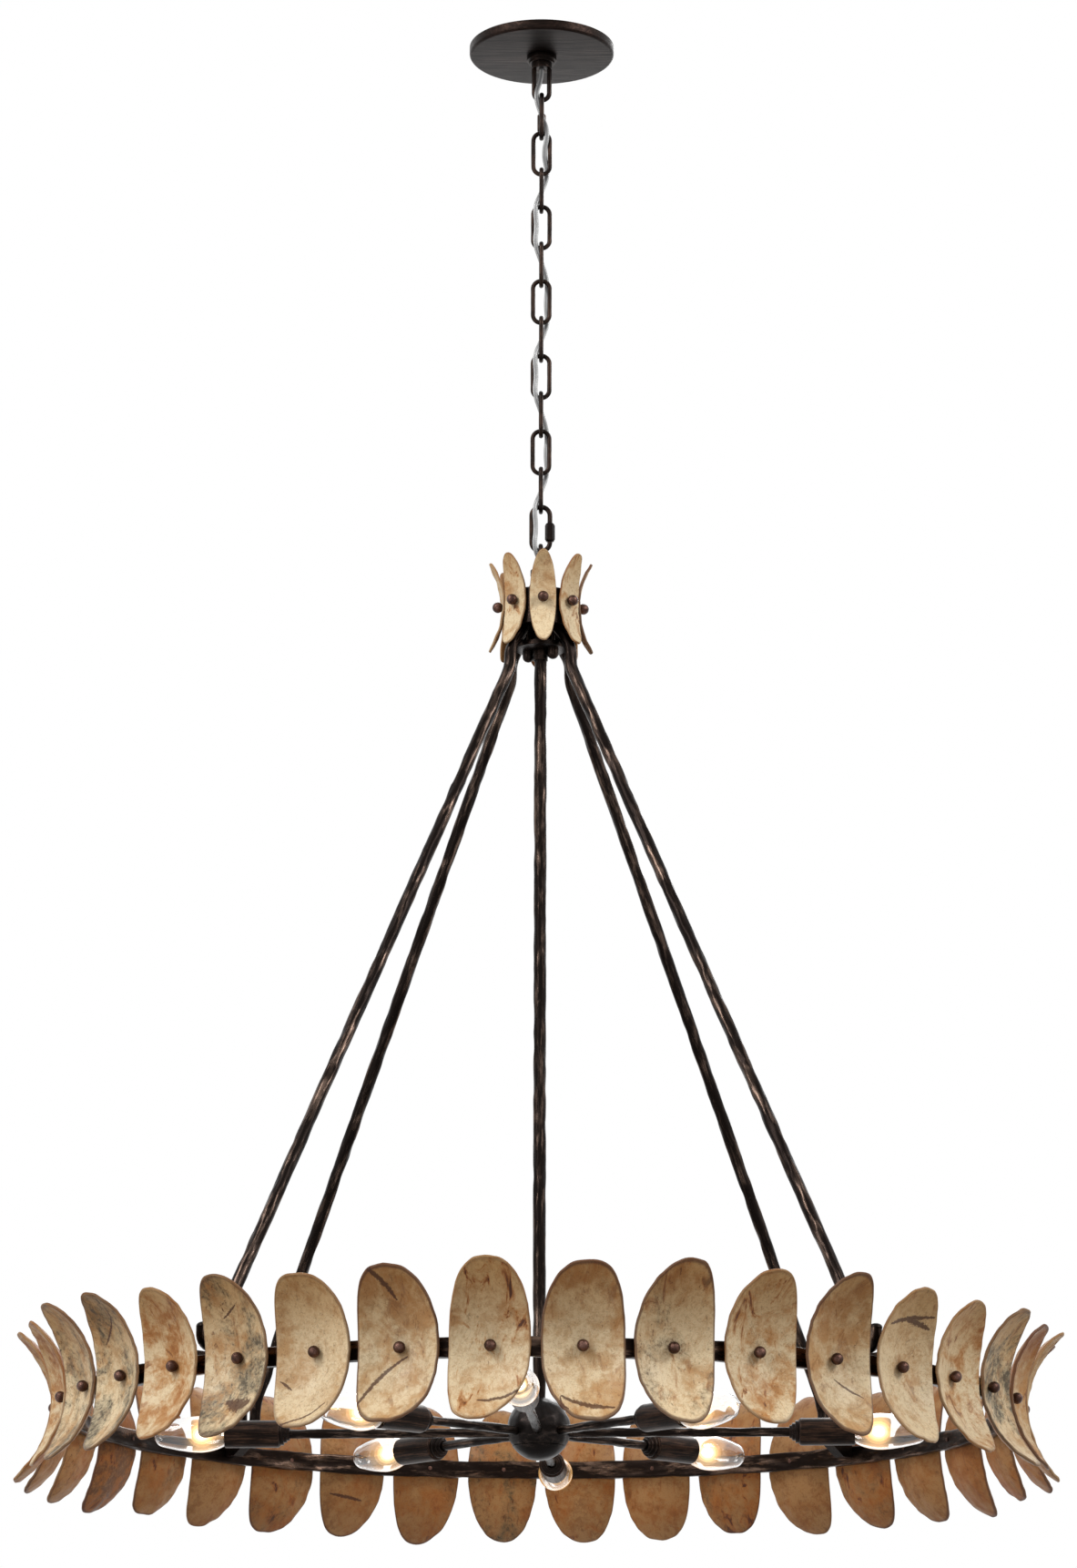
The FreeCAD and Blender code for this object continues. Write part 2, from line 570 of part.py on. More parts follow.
def shell_disc(height, width, upper_share, curve, thickness, seat, z, hole):
    """One riveted shell on the -Y side: part of a hollow ball, its convex side on the seat radius."""
    centre_y = -(seat + thickness + curve)
    centre = V(0, centre_y, z)
    wall = Part.makeSphere(curve + thickness, centre).cut(Part.makeSphere(curve, centre))
    shell = wall.common(oval_cone(height, width, upper_share, curve + thickness / 2, centre_y, z))
    return shell.cut(radial_bar(hole, seat - OVERRUN, seat + thickness + OVERRUN, z))


def ring_shell(index):
    """One of the ring's shells, with the small differences in size that the cut shells have."""
    turn = math.radians(index * SHELL_STEP_DEGREES)
    height = RING_SHELL_HEIGHT * (1 + SHELL_HEIGHT_SPREAD_SHARE * math.sin(turn))
    width = RING_SHELL_WIDTH * (1 + SHELL_WIDTH_SPREAD_SHARE * math.cos(2 * turn))
    upper = (1 + SHELL_UPPER_SPREAD_SHARE * math.sin(3 * turn)) / 2
    shell = shell_disc(height, width, upper, RING_SHELL_CURVE, RING_SHELL_THICKNESS, RING_RADIUS, RING_Z,
                       RIVET_SHANK_DIAMETER)
    return turned(shell, RING_SHELL_PHASE + index * 360.0 / RING_SHELL_COUNT)


def ring_shells(group):
    """Every sixth shell of the ring, as one group."""
    places = range(group, RING_SHELL_COUNT, RING_SHELL_GROUPS)
    return Part.makeCompound([ring_shell(index) for index in places])


def crown_shells():
    """The eight slim shells round the crown."""
    shell = shell_disc(CROWN_SHELL_HEIGHT, CROWN_SHELL_WIDTH, 0.5, CROWN_SHELL_CURVE, CROWN_SHELL_THICKNESS,
                       BAND_RADIUS, CROWN_Z, RIVET_SHANK_DIAMETER)
    return Part.makeCompound([turned(shell, CROWN_SHELL_PHASE + index * 360.0 / CROWN_SHELL_COUNT)
                              for index in range(CROWN_SHELL_COUNT)])


def rivet(inner, face, z):
    """One ball-headed rivet on the -Y side, from the inside of its bar to the head on the shell."""
    head = Part.makeSphere(RIVET_HEAD_DIAMETER / 2, V(0, -(face + RIVET_STAND_OFF), z))
    head = head.cut(Part.makeBox(2 * RIVET_HEAD_DIAMETER, RIVET_HEAD_DIAMETER, 2 * RIVET_HEAD_DIAMETER,
                                 V(-RIVET_HEAD_DIAMETER, -face, z - RIVET_HEAD_DIAMETER)))
    shank = radial_bar(RIVET_SHANK_DIAMETER, inner, face + RIVET_STAND_OFF, z)
    return fused([head, shank])


def ring_rivets():
    """The 36 rivets of the ring."""
    one = rivet(RING_RADIUS - RING_THICKNESS, RING_RADIUS + RING_SHELL_THICKNESS, RING_Z)
    return Part.makeCompound([turned(one, RING_SHELL_PHASE + index * 360.0 / RING_SHELL_COUNT)
                              for index in range(RING_SHELL_COUNT)])


def crown_rivets():
    """The eight rivets of the crown."""
    one = rivet(CAP_RADIUS, BAND_RADIUS + CROWN_SHELL_THICKNESS, CROWN_Z)
    return Part.makeCompound([turned(one, CROWN_SHELL_PHASE + index * 360.0 / CROWN_SHELL_COUNT)
                              for index in range(CROWN_SHELL_COUNT)])


def ring():
    """The flat bar hoop, chamfered along its edges and drilled for the rivets."""
    outer, inner = RING_RADIUS, RING_INNER_RADIUS
    low, high, c = RING_Z - RING_HEIGHT / 2, RING_Z + RING_HEIGHT / 2, RING_CHAMFER
    outline = [V(outer, 0, low + c), V(outer, 0, high - c), V(outer - c, 0, high), V(inner + c, 0, high),
               V(inner, 0, high - c), V(inner, 0, low + c), V(inner + c, 0, low), V(outer - c, 0, low)]
    hoop = turned_profile(outline, V(0, 0, 0), V(0, 0, 1))
    hole = radial_bar(RIVET_SHANK_DIAMETER, inner - OVERRUN, outer + OVERRUN, RING_Z)
    return hoop.cut(evenly_turned(hole, RING_SHELL_PHASE, RING_SHELL_COUNT))


def rod(azimuth):
    """One slanted rod: straight into the crown, out over a shoulder, down to the ring and round a hook."""
    shoulder_top = CAP_BOTTOM - ROD_SHOULDER_DROP
    leg, end = ROD_LEG_RADIUS, ROD_LEG_RADIUS + HOOK_WIDTH
    turn_z = RING_Z + HOOK_TURN_RISE
    route = [V(0, -ROD_TOP_RADIUS, CAP_BOTTOM), V(0, -ROD_TOP_RADIUS, CAP_BOTTOM - ROD_TOP_STRAIGHT),
             V(0, -ROD_SHOULDER_RADIUS, shoulder_top),
             V(0, -ROD_SHOULDER_RADIUS, shoulder_top - ROD_SHOULDER_LENGTH),
             V(0, -leg, RING_Z + ROD_CORNER_RISE), V(0, -leg, turn_z)]
    bends = [ROD_TOP_BEND, ROD_TOP_BEND, ROD_SHOULDER_BEND, ROD_FOOT_BEND]
    edges = bent_path(route, bends)
    low = V(0, -(leg + end) / 2, turn_z - HOOK_WIDTH / 2)
    edges.append(Part.Arc(V(0, -leg, turn_z), low, V(0, -end, turn_z)).toShape())
    tip = V(0, -end, RING_Z + HOOK_END_RISE - ROD_DIAMETER / 2)
    edges.append(Part.LineSegment(V(0, -end, turn_z), tip).toShape())
    bar = fused([tube_along(edges, ROD_DIAMETER), Part.makeSphere(ROD_DIAMETER / 2, tip)])
    return turned(bar, azimuth)


def ring_lugs():
    """The four gusseted lugs inside the ring that the rods' hooks are welded down to."""
    top = RING_Z + HOOK_TURN_RISE - HOOK_WIDTH / 2 - ROD_DIAMETER / 2 - WELD_GAP
    root, bottom = RING_INNER_RADIUS - WELD_GAP, RING_Z - LUG_ROOT_DROP
    tip, knee = ROD_LEG_RADIUS + LUG_PAST_LEG, ROD_LEG_RADIUS + HOOK_WIDTH + LUG_KNEE_PAST_HOOK
    outline = [V(-LUG_WIDTH / 2, -radius, z) for radius, z in (
        (root + OVERRUN, top), (tip, top), (tip, top - LUG_TIP_HEIGHT),
        (knee, bottom), (root + OVERRUN, bottom))]
    lug = Part.Face(Part.makePolygon(outline + [outline[0]])).extrude(V(LUG_WIDTH, 0, 0))
    lug = lug.common(round_bar(2 * root, bottom - OVERRUN, top + OVERRUN))
    return evenly_turned(lug, ROD_PHASE, ROD_COUNT)


def stem():
    """The hollow stem between the crown and the hub, on the loop's shank at its top."""
    top = CAP_BOTTOM - NUT_HEIGHT - THREAD_FIT
    bottom = HUB_Z + HUB_DIAMETER / 2 - HUB_WALL - HUB_LIP
    tube = round_bar(STEM_DIAMETER, bottom, top).cut(round_bar(STEM_BORE, bottom - OVERRUN, top))
    return tube.cut(round_bar(NIPPLE_DIAMETER + 2 * THREAD_FIT, top - STEM_SOCKET_DEPTH, top + OVERRUN))


def stem_collar():
    """The stepped collar on the stem under the crown's lower plate."""
    step = PLATE_BOTTOM - STEM_COLLAR_HEIGHT
    bottom = step - STEM_COLLAR_STEP_HEIGHT
    collar = fused([round_bar(STEM_COLLAR_STEP_DIAMETER, bottom, step),
                    round_bar(STEM_COLLAR_DIAMETER, step, PLATE_BOTTOM)])
    return collar.cut(round_bar(STEM_DIAMETER + 2 * THREAD_FIT, bottom - OVERRUN, PLATE_BOTTOM + OVERRUN))


def hub_ball():
    """The hollow ball in the middle, before it is split into its body and cap."""
    centre, radius = V(0, 0, HUB_Z), HUB_DIAMETER / 2
    return Part.makeSphere(radius, centre).cut(Part.makeSphere(radius - HUB_WALL, centre))


def below_split():
    """A block under the hub's parting plane."""
    top = HUB_Z - HUB_SPLIT_DROP
    return Part.makeBox(2 * HUB_DIAMETER, 2 * HUB_DIAMETER, HUB_DIAMETER,
                        V(-HUB_DIAMETER, -HUB_DIAMETER, top - HUB_DIAMETER))


def hub_body():
    """The hub's body, with its stem hole and eight arm holes."""
    body = hub_ball().cut(below_split())
    body = body.cut(round_bar(STEM_DIAMETER + 2 * THREAD_FIT, HUB_Z, HUB_Z + HUB_DIAMETER))
    hole = radial_bar(ARM_DIAMETER + 2 * THREAD_FIT, HUB_DIAMETER / 4, HUB_DIAMETER, ARM_Z)
    for index in range(ARM_COUNT):
        body = body.cut(turned(hole, ARM_PHASE + index * 360.0 / ARM_COUNT))
    return body


def hub_cap():
    """The cap that closes the hub from below."""
    return hub_ball().common(below_split())


def on_arm(piece, index):
    """A copy of a piece made for a long arm on the -Y side, on the arm of that index; odd arms are short."""
    copy = piece.copy()
    copy.translate(V(0, (index % 2) * SHORT_ARM_STEP, 0))
    return turned(copy, ARM_PHASE + index * 360.0 / ARM_COUNT)


def round_the_arms(piece):
    """A group of one piece on each of the eight arms."""
    return Part.makeCompound([on_arm(piece, index) for index in range(ARM_COUNT)])


def lamp_arms():
    """The eight round arms, long and short by turns, from inside the hub's wall to the socket cups."""
    start, end = HUB_DIAMETER / 2 - HUB_WALL - HUB_LIP, CUP_START - ARM_END_GAP
    arms = []
    for index in range(ARM_COUNT):
        arm = radial_bar(ARM_DIAMETER, start, end - (index % 2) * SHORT_ARM_STEP, ARM_Z)
        arms.append(turned(arm, ARM_PHASE + index * 360.0 / ARM_COUNT))
    return Part.makeCompound(arms)


def arm_collars():
    """The three-step collars behind the socket cups."""
    start = CUP_START - sum(ARM_COLLAR_LENGTHS)
    steps = []
    for diameter, length in zip(ARM_COLLAR_DIAMETERS, ARM_COLLAR_LENGTHS):
        steps.append(radial_bar(diameter, start, start + length, ARM_Z))
        start += length
    collar = fused(steps)
    bore = radial_bar(ARM_DIAMETER + 2 * THREAD_FIT, CUP_START - sum(ARM_COLLAR_LENGTHS) - OVERRUN,
                      CUP_START + OVERRUN, ARM_Z)
    return round_the_arms(collar.cut(bore))


def socket_cups():
    """The round cups that hide the lampholders."""
    end = CUP_START + CUP_LENGTH
    cup = radial_bar(CUP_DIAMETER, CUP_START, end, ARM_Z)
    cup = cup.cut(radial_bar(CUP_DIAMETER - 2 * CUP_WALL, HOLDER_START, end + OVERRUN, ARM_Z))
    hole = radial_bar(ARM_DIAMETER + 2 * THREAD_FIT, CUP_START - OVERRUN, HOLDER_START, ARM_Z)
    return round_the_arms(cup.cut(hole))


def lampholders():
    """The candle-size lampholders inside the cups, each with its centre contact."""
    floor = HOLDER_FRONT - HOLDER_BORE_DEPTH
    holder = radial_bar(HOLDER_DIAMETER, HOLDER_START, HOLDER_FRONT, ARM_Z)
    bore = radial_bar(BULB_BASE_DIAMETER + 2 * BULB_BASE_FIT, floor, HOLDER_FRONT + OVERRUN, ARM_Z)
    holder = holder.cut(bore)
    contact = radial_bar(HOLDER_CONTACT_DIAMETER, floor, floor + HOLDER_CONTACT_HEIGHT, ARM_Z)
    return round_the_arms(fused([holder, contact]))


def bulb(index):
    """One clear candle bulb: a screw base and a hollow glass envelope that bulges and tapers to a tip."""
    neck, widest = BULB_NECK_DIAMETER / 2, BULB_GLASS_DIAMETER / 2
    length = BULB_TIP_REACH - BULB_GLASS_START
    profile_shares = [(0.0, 0.0), (0.08, 0.12), (0.24, 0.72), (0.42, 1.0),
                      (0.62, 0.9), (0.8, 0.66), (0.94, 0.32)]

    def envelope(inset):
        outer = [V(neck - inset + share * (widest - neck), BULB_GLASS_START + along * length, 0)
                 for along, share in profile_shares]
        tip = V(0, BULB_TIP_REACH - inset, 0)
        curve = Part.BSplineCurve()
        curve.interpolate(outer + [tip], InitialTangent=V(0, 1, 0), FinalTangent=V(-1, 0, 0))
        start = V(0, BULB_GLASS_START, 0)
        wire = Part.Wire([curve.toShape(), Part.LineSegment(tip, start).toShape(),
                          Part.LineSegment(start, outer[0]).toShape()])
        solid = Part.Face(wire).revolve(V(0, 0, 0), V(0, 1, 0), 360)
        solid.rotate(V(0, 0, 0), V(0, 0, 1), 180)
        solid.translate(V(0, 0, ARM_Z))
        return solid

    glass = envelope(0.0).cut(envelope(BULB_GLASS_WALL))
    base = radial_bar(BULB_BASE_DIAMETER, BULB_BASE_START, BULB_GLASS_START, ARM_Z)
    return on_arm(Part.makeCompound([base, glass]), index)


def cord_middle(above, below):
    """Where the cord runs beside or through a link's middle, from its corners above and below it."""
    if above == below:
        return V(above[0] * CORD_BESIDE_X, above[1] * CORD_BESIDE_Y, 0)
    if above[0] != below[0] and above[1] != below[1]:
        return V(CORD_CROSSING, -CORD_CROSSING, 0)
    return V((above[0] + below[0]) / 2, (above[1] + below[1]) / 2, 0) * CORD_IN_HOLE


def cord_route():
    """The cord's points, from the canopy loop's base, to and fro through the links, into the crown."""
    bottoms = [CANOPY_LOOP_WIRE_Z, UPPER_LINK_BOTTOM] + LINK_BOTTOMS + [LOWER_LINK_BOTTOM]
    tops = [UPPER_LINK_TOP] + LINK_TOPS + [LOWER_LINK_TOP, CROWN_LOOP_WIRE_Z]
    heights = [(bottom + top) / 2 for bottom, top in zip(bottoms, tops)]
    start = CANOPY_LOOP_BASE_BOTTOM + CORD_SEAT
    route = [V(0, 0, start), V(0, 0, start - CORD_FIRST_RUN)]
    for index, (corner, height) in enumerate(zip(CORD_CORNERS, heights)):
        if index:
            middle = (heights[index - 1] + height) / 2
            route.append(cord_middle(CORD_CORNERS[index - 1], corner) + V(0, 0, middle))
        route.append(V(corner[0] * CORD_SIDE, corner[1] * CORD_SIDE, height))
    end = CROWN_LOOP_BASE_TOP - CORD_SEAT
    return route + [V(0, 0, end + CORD_ENTRY_RUN), V(0, 0, end)]


def lamp_cord():
    """The flat two-core cord as a plain tube along its route, with each arc as large as its runs allow."""
    route = cord_route()
    radii = []
    for before, corner, after in zip(route, route[1:], route[2:]):
        into, out = corner - before, after - corner
        radii.append(CORD_ARC_SHARE * min(into.Length, out.Length) / math.tan(into.getAngle(out) / 2))
    print("cord arc radii", [round(radius, 1) for radius in radii])
    edges = bent_path(route, radii)
    length = sum(edge.Length for edge in edges)
    tube = tube_along(edges, CORD_DIAMETER)
    section = math.pi * CORD_DIAMETER ** 2 / 4
    print("cord length", round(length, 1))
    print("volume over section times length", round(tube.Volume / section / length, 5))
    return tube


def build():
    """All sub-parts by name."""
    parts = {
        "mounting_strap": mounting_strap(), "ground_screw": ground_screw(),
        "threaded_nipple": threaded_nipple(), "nipple_locknuts": nipple_locknuts(),
        "canopy_loop": canopy_loop(), "canopy_pan": canopy_pan(), "screw_collar": screw_collar(),
        "upper_quick_link": quick_link(UPPER_LINK_TOP, UPPER_LINK_BOTTOM, True),
        "upper_link_sleeve": link_sleeve(UPPER_LINK_BOTTOM, True),
        "lower_quick_link": quick_link(LOWER_LINK_TOP, LOWER_LINK_BOTTOM, False),
        "lower_link_sleeve": link_sleeve(LOWER_LINK_BOTTOM, False),
    }
    for index, (top, bottom) in enumerate(zip(LINK_TOPS, LINK_BOTTOMS)):
        parts[f"chain_link_{index + 1:02d}"] = chain_link(top, bottom, edge_on=index % 2 == 1)
    parts.update({
        "crown_loop": crown_loop(), "crown_cap": crown_cap(), "crown_locknut": crown_locknut(),
        "crown_band": crown_band(), "crown_plate": crown_plate(), "crown_tie_bolts": tie_bolts(),
        "crown_shells": crown_shells(), "crown_rivets": crown_rivets(),
        "stem": stem(), "stem_collar": stem_collar(), "hub_body": hub_body(), "hub_cap": hub_cap(),
        "ring": ring(), "ring_rivets": ring_rivets(), "ring_lugs": ring_lugs(), "lamp_arms": lamp_arms(),
        "arm_collars": arm_collars(), "socket_cups": socket_cups(), "lampholders": lampholders(),
        "lamp_cord": lamp_cord(),
    })
    for index in range(ROD_COUNT):
        parts[f"rod_{index + 1}"] = rod(ROD_PHASE + index * 360.0 / ROD_COUNT)
    for group in range(RING_SHELL_GROUPS):
        parts[f"ring_shells_{group + 1}"] = ring_shells(group)
    for index in range(ARM_COUNT):
        parts[f"bulb_{index + 1}"] = bulb(index)
    return parts


def main():
    """Write each sub-part to its own file."""
    os.makedirs("parts", exist_ok=True)
    for name, shape in build().items():
        if not shape.isValid():
            print("not valid:", name)
        shape.exportStep(os.path.join("parts", name + ".step"))
        print(f"{name}: {len(shape.Solids)} solids, {shape.Volume / 1000:.2f} cm3")


if __name__ == "__main__":
    main()
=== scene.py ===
"""The looks of the shell chandelier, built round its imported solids. Everything is in metres."""
from __future__ import annotations

import logging
import math
import random
from dataclasses import dataclass, field
from enum import Enum
from functools import cache
from typing import Iterable, Sequence

import bpy
import numpy as np
from mathutils import Matrix, Vector, noise

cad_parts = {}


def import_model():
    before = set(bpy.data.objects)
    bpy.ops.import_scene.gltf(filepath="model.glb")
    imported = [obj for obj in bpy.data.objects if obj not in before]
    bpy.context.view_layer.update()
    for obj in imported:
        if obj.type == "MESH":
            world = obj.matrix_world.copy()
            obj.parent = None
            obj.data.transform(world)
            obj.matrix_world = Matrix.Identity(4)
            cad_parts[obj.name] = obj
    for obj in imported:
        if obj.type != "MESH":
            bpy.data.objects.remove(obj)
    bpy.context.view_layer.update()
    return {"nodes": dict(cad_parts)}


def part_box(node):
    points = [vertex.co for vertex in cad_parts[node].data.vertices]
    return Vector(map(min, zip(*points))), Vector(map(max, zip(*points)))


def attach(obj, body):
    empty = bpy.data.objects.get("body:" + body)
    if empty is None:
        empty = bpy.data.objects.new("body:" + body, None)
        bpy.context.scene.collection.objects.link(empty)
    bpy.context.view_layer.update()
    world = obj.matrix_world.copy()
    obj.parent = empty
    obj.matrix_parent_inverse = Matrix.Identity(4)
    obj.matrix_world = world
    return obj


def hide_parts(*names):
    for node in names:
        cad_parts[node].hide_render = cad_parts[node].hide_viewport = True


LOG = logging.getLogger("shell_chandelier")

Colour = tuple[float, float, float, float]
Point = tuple[float, float, float]
Outline = list[tuple[float, float]]
Sockets = bpy.types.bpy_prop_collection
Socket = bpy.types.NodeSocket
Piece = bpy.types.Object
Material = bpy.types.Material
FormTree = bpy.types.GeometryNodeTree
FigureTree = bpy.types.ShaderNodeTree

RING_AZIMUTH = 4.7
CROWN_AZIMUTH = 3.3
ARM_AZIMUTH = -3.0
ROD_AZIMUTH = 45.0
SHORTER = 0.102
ARM_DROP = 0.018
CROWN_CAP_LIFT = 0.003
ARMS = 8
RING_SHELLS = 36
SHELL_GROUPS = 6
LINKS = 10
EIGHTH = 45.0
FULL_TURN = 2 * math.pi
OUTWARDS = Matrix.Rotation(math.radians(90.0), 4, "X")
WHITE = (1.0, 1.0, 1.0, 1.0)
BLACK = (0.0, 0.0, 0.0, 1.0)
FIGURES = {"Mask": "Float", "Height": "Float"}


class Slot(Enum):
    """The record's material slots."""

    SMOOTH = "smooth_bronze"
    HAMMERED = "hammered_bronze"
    SHELL = "natural_shell"
    GLASS = "clear_glass"
    HOLDER = "lampholder"
    CORD = "cord"


class Grain(Enum):
    """How a metal surface was worked."""

    PLAIN = "plain"
    BRUSHED = "brushed"
    TURNED = "turned"
    HAMMERED = "hammered"


class Character(Enum):
    """How one cut shell looks: warmth, stains, dark spots, grey patches, darkness of its edge, scratches."""

    CREAM = (0.06, 0.22, 0.30, 0.06, 0.25, 0.0)
    PLAIN = (0.26, 0.06, 0.10, 0.04, 0.45, 0.0)
    HONEY = (0.10, 0.85, 0.55, 0.04, 0.30, 0.0)
    RUST = (0.26, 0.72, 0.85, 0.08, 0.35, 0.0)
    SPOTTED = (0.10, 0.30, 1.00, 0.04, 0.25, 0.0)
    TAN = (0.44, 0.22, 0.25, 0.14, 0.85, 0.0)
    SPECKLED = (0.20, 0.20, 0.45, 0.60, 0.80, 0.0)
    GREY = (0.24, 0.20, 0.35, 1.00, 0.60, 0.1)
    OCHRE = (0.66, 0.70, 0.50, 0.10, 0.85, 0.1)
    CLOUDED = (0.52, 0.80, 1.00, 0.35, 0.85, 0.1)
    BROWN = (1.00, 0.80, 0.80, 0.10, 0.90, 1.0)


def paint(red: int, green: int, blue: int) -> Colour:
    """Turn a screen colour into the linear one that a shader takes.

    Args:
        red: Red, 0 to 255.
        green: Green, 0 to 255.
        blue: Blue, 0 to 255.

    Returns:
        The linear colour, with full alpha.
    """
    linear = [((v / 255 + 0.055) / 1.055) ** 2.4 if v > 10 else v / 255 / 12.92 for v in (red, green, blue)]
    return (linear[0], linear[1], linear[2], 1.0)


def about_axis(azimuth: float) -> Matrix:
    """The turn about the lamp's own axis for an azimuth in degrees."""
    return Matrix.Rotation(math.radians(azimuth), 4, "Z")


def sweep(step: float, first: int, last: int) -> list[float]:
    """Angles in radians at even steps of so many degrees, from the first step to before the last."""
    return [math.radians(step * k) for k in range(first, last)]


def ring_of(count: int) -> list[float]:
    """Angles in radians that part a full turn evenly."""
    return [FULL_TURN * k / count for k in range(count)]


class TreeMaker:
    """Adds and joins the nodes of one tree."""

    def __init__(self, tree: bpy.types.NodeTree) -> None:
        """Keep the tree that the nodes go in."""
        self.tree = tree

    @classmethod
    def material(cls, name: str) -> tuple[Material, TreeMaker]:
        """Start an empty material.

        Args:
            name: Its name.

        Returns:
            The material and its tree's maker.
        """
        material = bpy.data.materials.new(name)
        material.use_nodes = True
        material.node_tree.nodes.clear()
        return material, cls(material.node_tree)

    @classmethod
    def group(cls, name: str, kind: str, inputs: dict[str, str | float],
              outputs: dict[str, str]) -> tuple[TreeMaker, Sockets]:
        """Start a node group with its inputs and outputs.

        Args:
            name: Its name.
            kind: Shader or Geometry.
            inputs: Each input's starting number, or its kind where it starts with none, by its name.
            outputs: Each output's kind by its name.

        Returns:
            The group's maker and the sockets that its nodes start from.
        """
        tree = bpy.data.node_groups.new(name, f"{kind}NodeTree")
        for side, ends in (("INPUT", inputs), ("OUTPUT", outputs)):
            for label, value in ends.items():
                sort = value if isinstance(value, str) else type(value).__name__.title()
                socket = tree.interface.new_socket(label, in_out=side, socket_type=f"NodeSocket{sort}")
                if not isinstance(value, str):
                    socket.default_value = value
        maker = cls(tree)
        return maker, maker.add("NodeGroupInput").outputs

    def surface(self, **plugs: object) -> None:
        """End a material in its surface shader, the inputs' names written with underscores."""
        shader = self.add("ShaderNodeBsdfPrincipled", {name.replace("_", " "): value for name, value in plugs.items()})
        self.add("ShaderNodeOutputMaterial", {0: shader})

    def bump(self, strength: float, distance: float, height: object) -> Socket:
        """The surface's normal, leant by a height."""
        return self.add("ShaderNodeBump", {"Strength": strength, "Distance": distance, "Height": height}).outputs[0]

    def place(self) -> Socket:
        """Where each point lies in its object."""
        return self.add("ShaderNodeTexCoord").outputs["Object"]

    def add(self, kind: str, plugs: dict[str | int, object] | None = None, **settings: object) -> bpy.types.Node:
        """Add one node.

        Args:
            kind: The node's type name.
            plugs: For each named or numbered input a value, an output socket, or a node for its first output.
            **settings: The node's own properties.

        Returns:
            The node.
        """
        node = self.tree.nodes.new(kind)
        for name, value in settings.items():
            setattr(node, name, value)
        for socket, value in (plugs or {}).items():
            target = node.inputs[socket]
            if isinstance(value, bpy.types.Node):
                value = value.outputs[0]
            if isinstance(value, Socket):
                self.tree.links.new(value, target)
            else:
                target.default_value = value
        return node

    def maths(self, operation: str, first: object, second: object = 0.0) -> Socket:
        """The result of one sum."""
        return self.add("ShaderNodeMath", {0: first, 1: second}, operation=operation).outputs[0]

    def vectors(self, operation: str, first: object, second: object) -> Socket:
        """The result of one sum of vectors, or of a vector and a figure to scale it by."""
        plugs = {0: first, "Scale" if operation == "SCALE" else 1: second}
        return self.add("ShaderNodeVectorMath", plugs, operation=operation).outputs[0]

    def together(self, x: object = 0.0, y: object = 0.0, z: object = 0.0) -> Socket:
        """Three figures as one vector."""
        return self.add("ShaderNodeCombineXYZ", {0: x, 1: y, 2: z}).outputs[0]

    def times(self, first: object, second: object) -> Socket:
        """One value times the other."""
        return self.maths("MULTIPLY", first, second)

    def plus(self, first: object, second: object) -> Socket:
        """One value and the other together."""
        return self.maths("ADD", first, second)

    def minus(self, first: object, second: object) -> Socket:
        """One value less the other."""
        return self.maths("SUBTRACT", first, second)

    def clouds(self, vector: object, scale: object, detail: float = 5.0, roughness: float = 0.55,
               distortion: float = 0.0) -> Socket:
        """Fractal noise over a place.

        Args:
            vector: The place.
            scale: Patches per metre.
            detail: Number of finer layers.
            roughness: Strength of the finer layers.
            distortion: How far the patches are dragged about.

        Returns:
            The noise, mostly 0.3 to 0.7.
        """
        plugs = {"Vector": vector, "Scale": scale, "Detail": detail, "Roughness": roughness, "Distortion": distortion}
        return self.add("ShaderNodeTexNoise", plugs).outputs[0]

    def span(self, value: object, low: float, high: float, to_low: float = 0.0, to_high: float = 1.0) -> Socket:
        """Ease a value from one range into another.

        Args:
            value: The value.
            low: Where the range starts.
            high: Where it ends.
            to_low: What its start becomes.
            to_high: What its end becomes.

        Returns:
            The eased value.
        """
        plugs = {"Value": value, "From Min": low, "From Max": high, "To Min": to_low, "To Max": to_high}
        return self.add("ShaderNodeMapRange", plugs, interpolation_type="SMOOTHSTEP").outputs[0]

    def blend(self, share: object, first: object, second: object, mode: str = "MIX") -> Socket:
        """Mix two colours.

        Args:
            share: The second colour's share.
            first: The first colour.
            second: The second colour.
            mode: The way of mixing.

        Returns:
            The mixed colour.
        """
        node = self.add("ShaderNodeMix", {0: share, 6: first, 7: second}, data_type="RGBA", blend_type=mode)
        return node.outputs[2]

    def mapped(self, vector: object, scale: Point, turn: Point = (0.0, 0.0, 0.0)) -> Socket:
        """Stretch and turn a place."""
        return self.add("ShaderNodeMapping", {"Vector": vector, "Scale": scale, "Rotation": turn}).outputs[0]

    def attribute(self, name: str, output: str = "Fac") -> Socket:
        """A value that the mesh carries."""
        return self.add("ShaderNodeAttribute", attribute_name=name).outputs[output]


@cache
def rubbing() -> FigureTree:
    """Uneven rubbed and dusty patches, as hands and cloths leave them.

    Returns:
        The group.
    """
    maker, start = TreeMaker.group("rubbing", "Shader", {"Place": "Vector", "Patches per metre": 40.0}, FIGURES)
    place, scale = start["Place"], start["Patches per metre"]
    large = maker.clouds(place, scale, 3.0, 0.5)
    fine = maker.clouds(place, maker.times(scale, 9.0), 6.0, 0.65, 0.4)
    both = maker.plus(maker.times(large, 0.6), maker.times(fine, 0.4))
    maker.add("NodeGroupOutput", {"Mask": maker.span(both, 0.42, 0.62), "Height": fine})
    return maker.tree


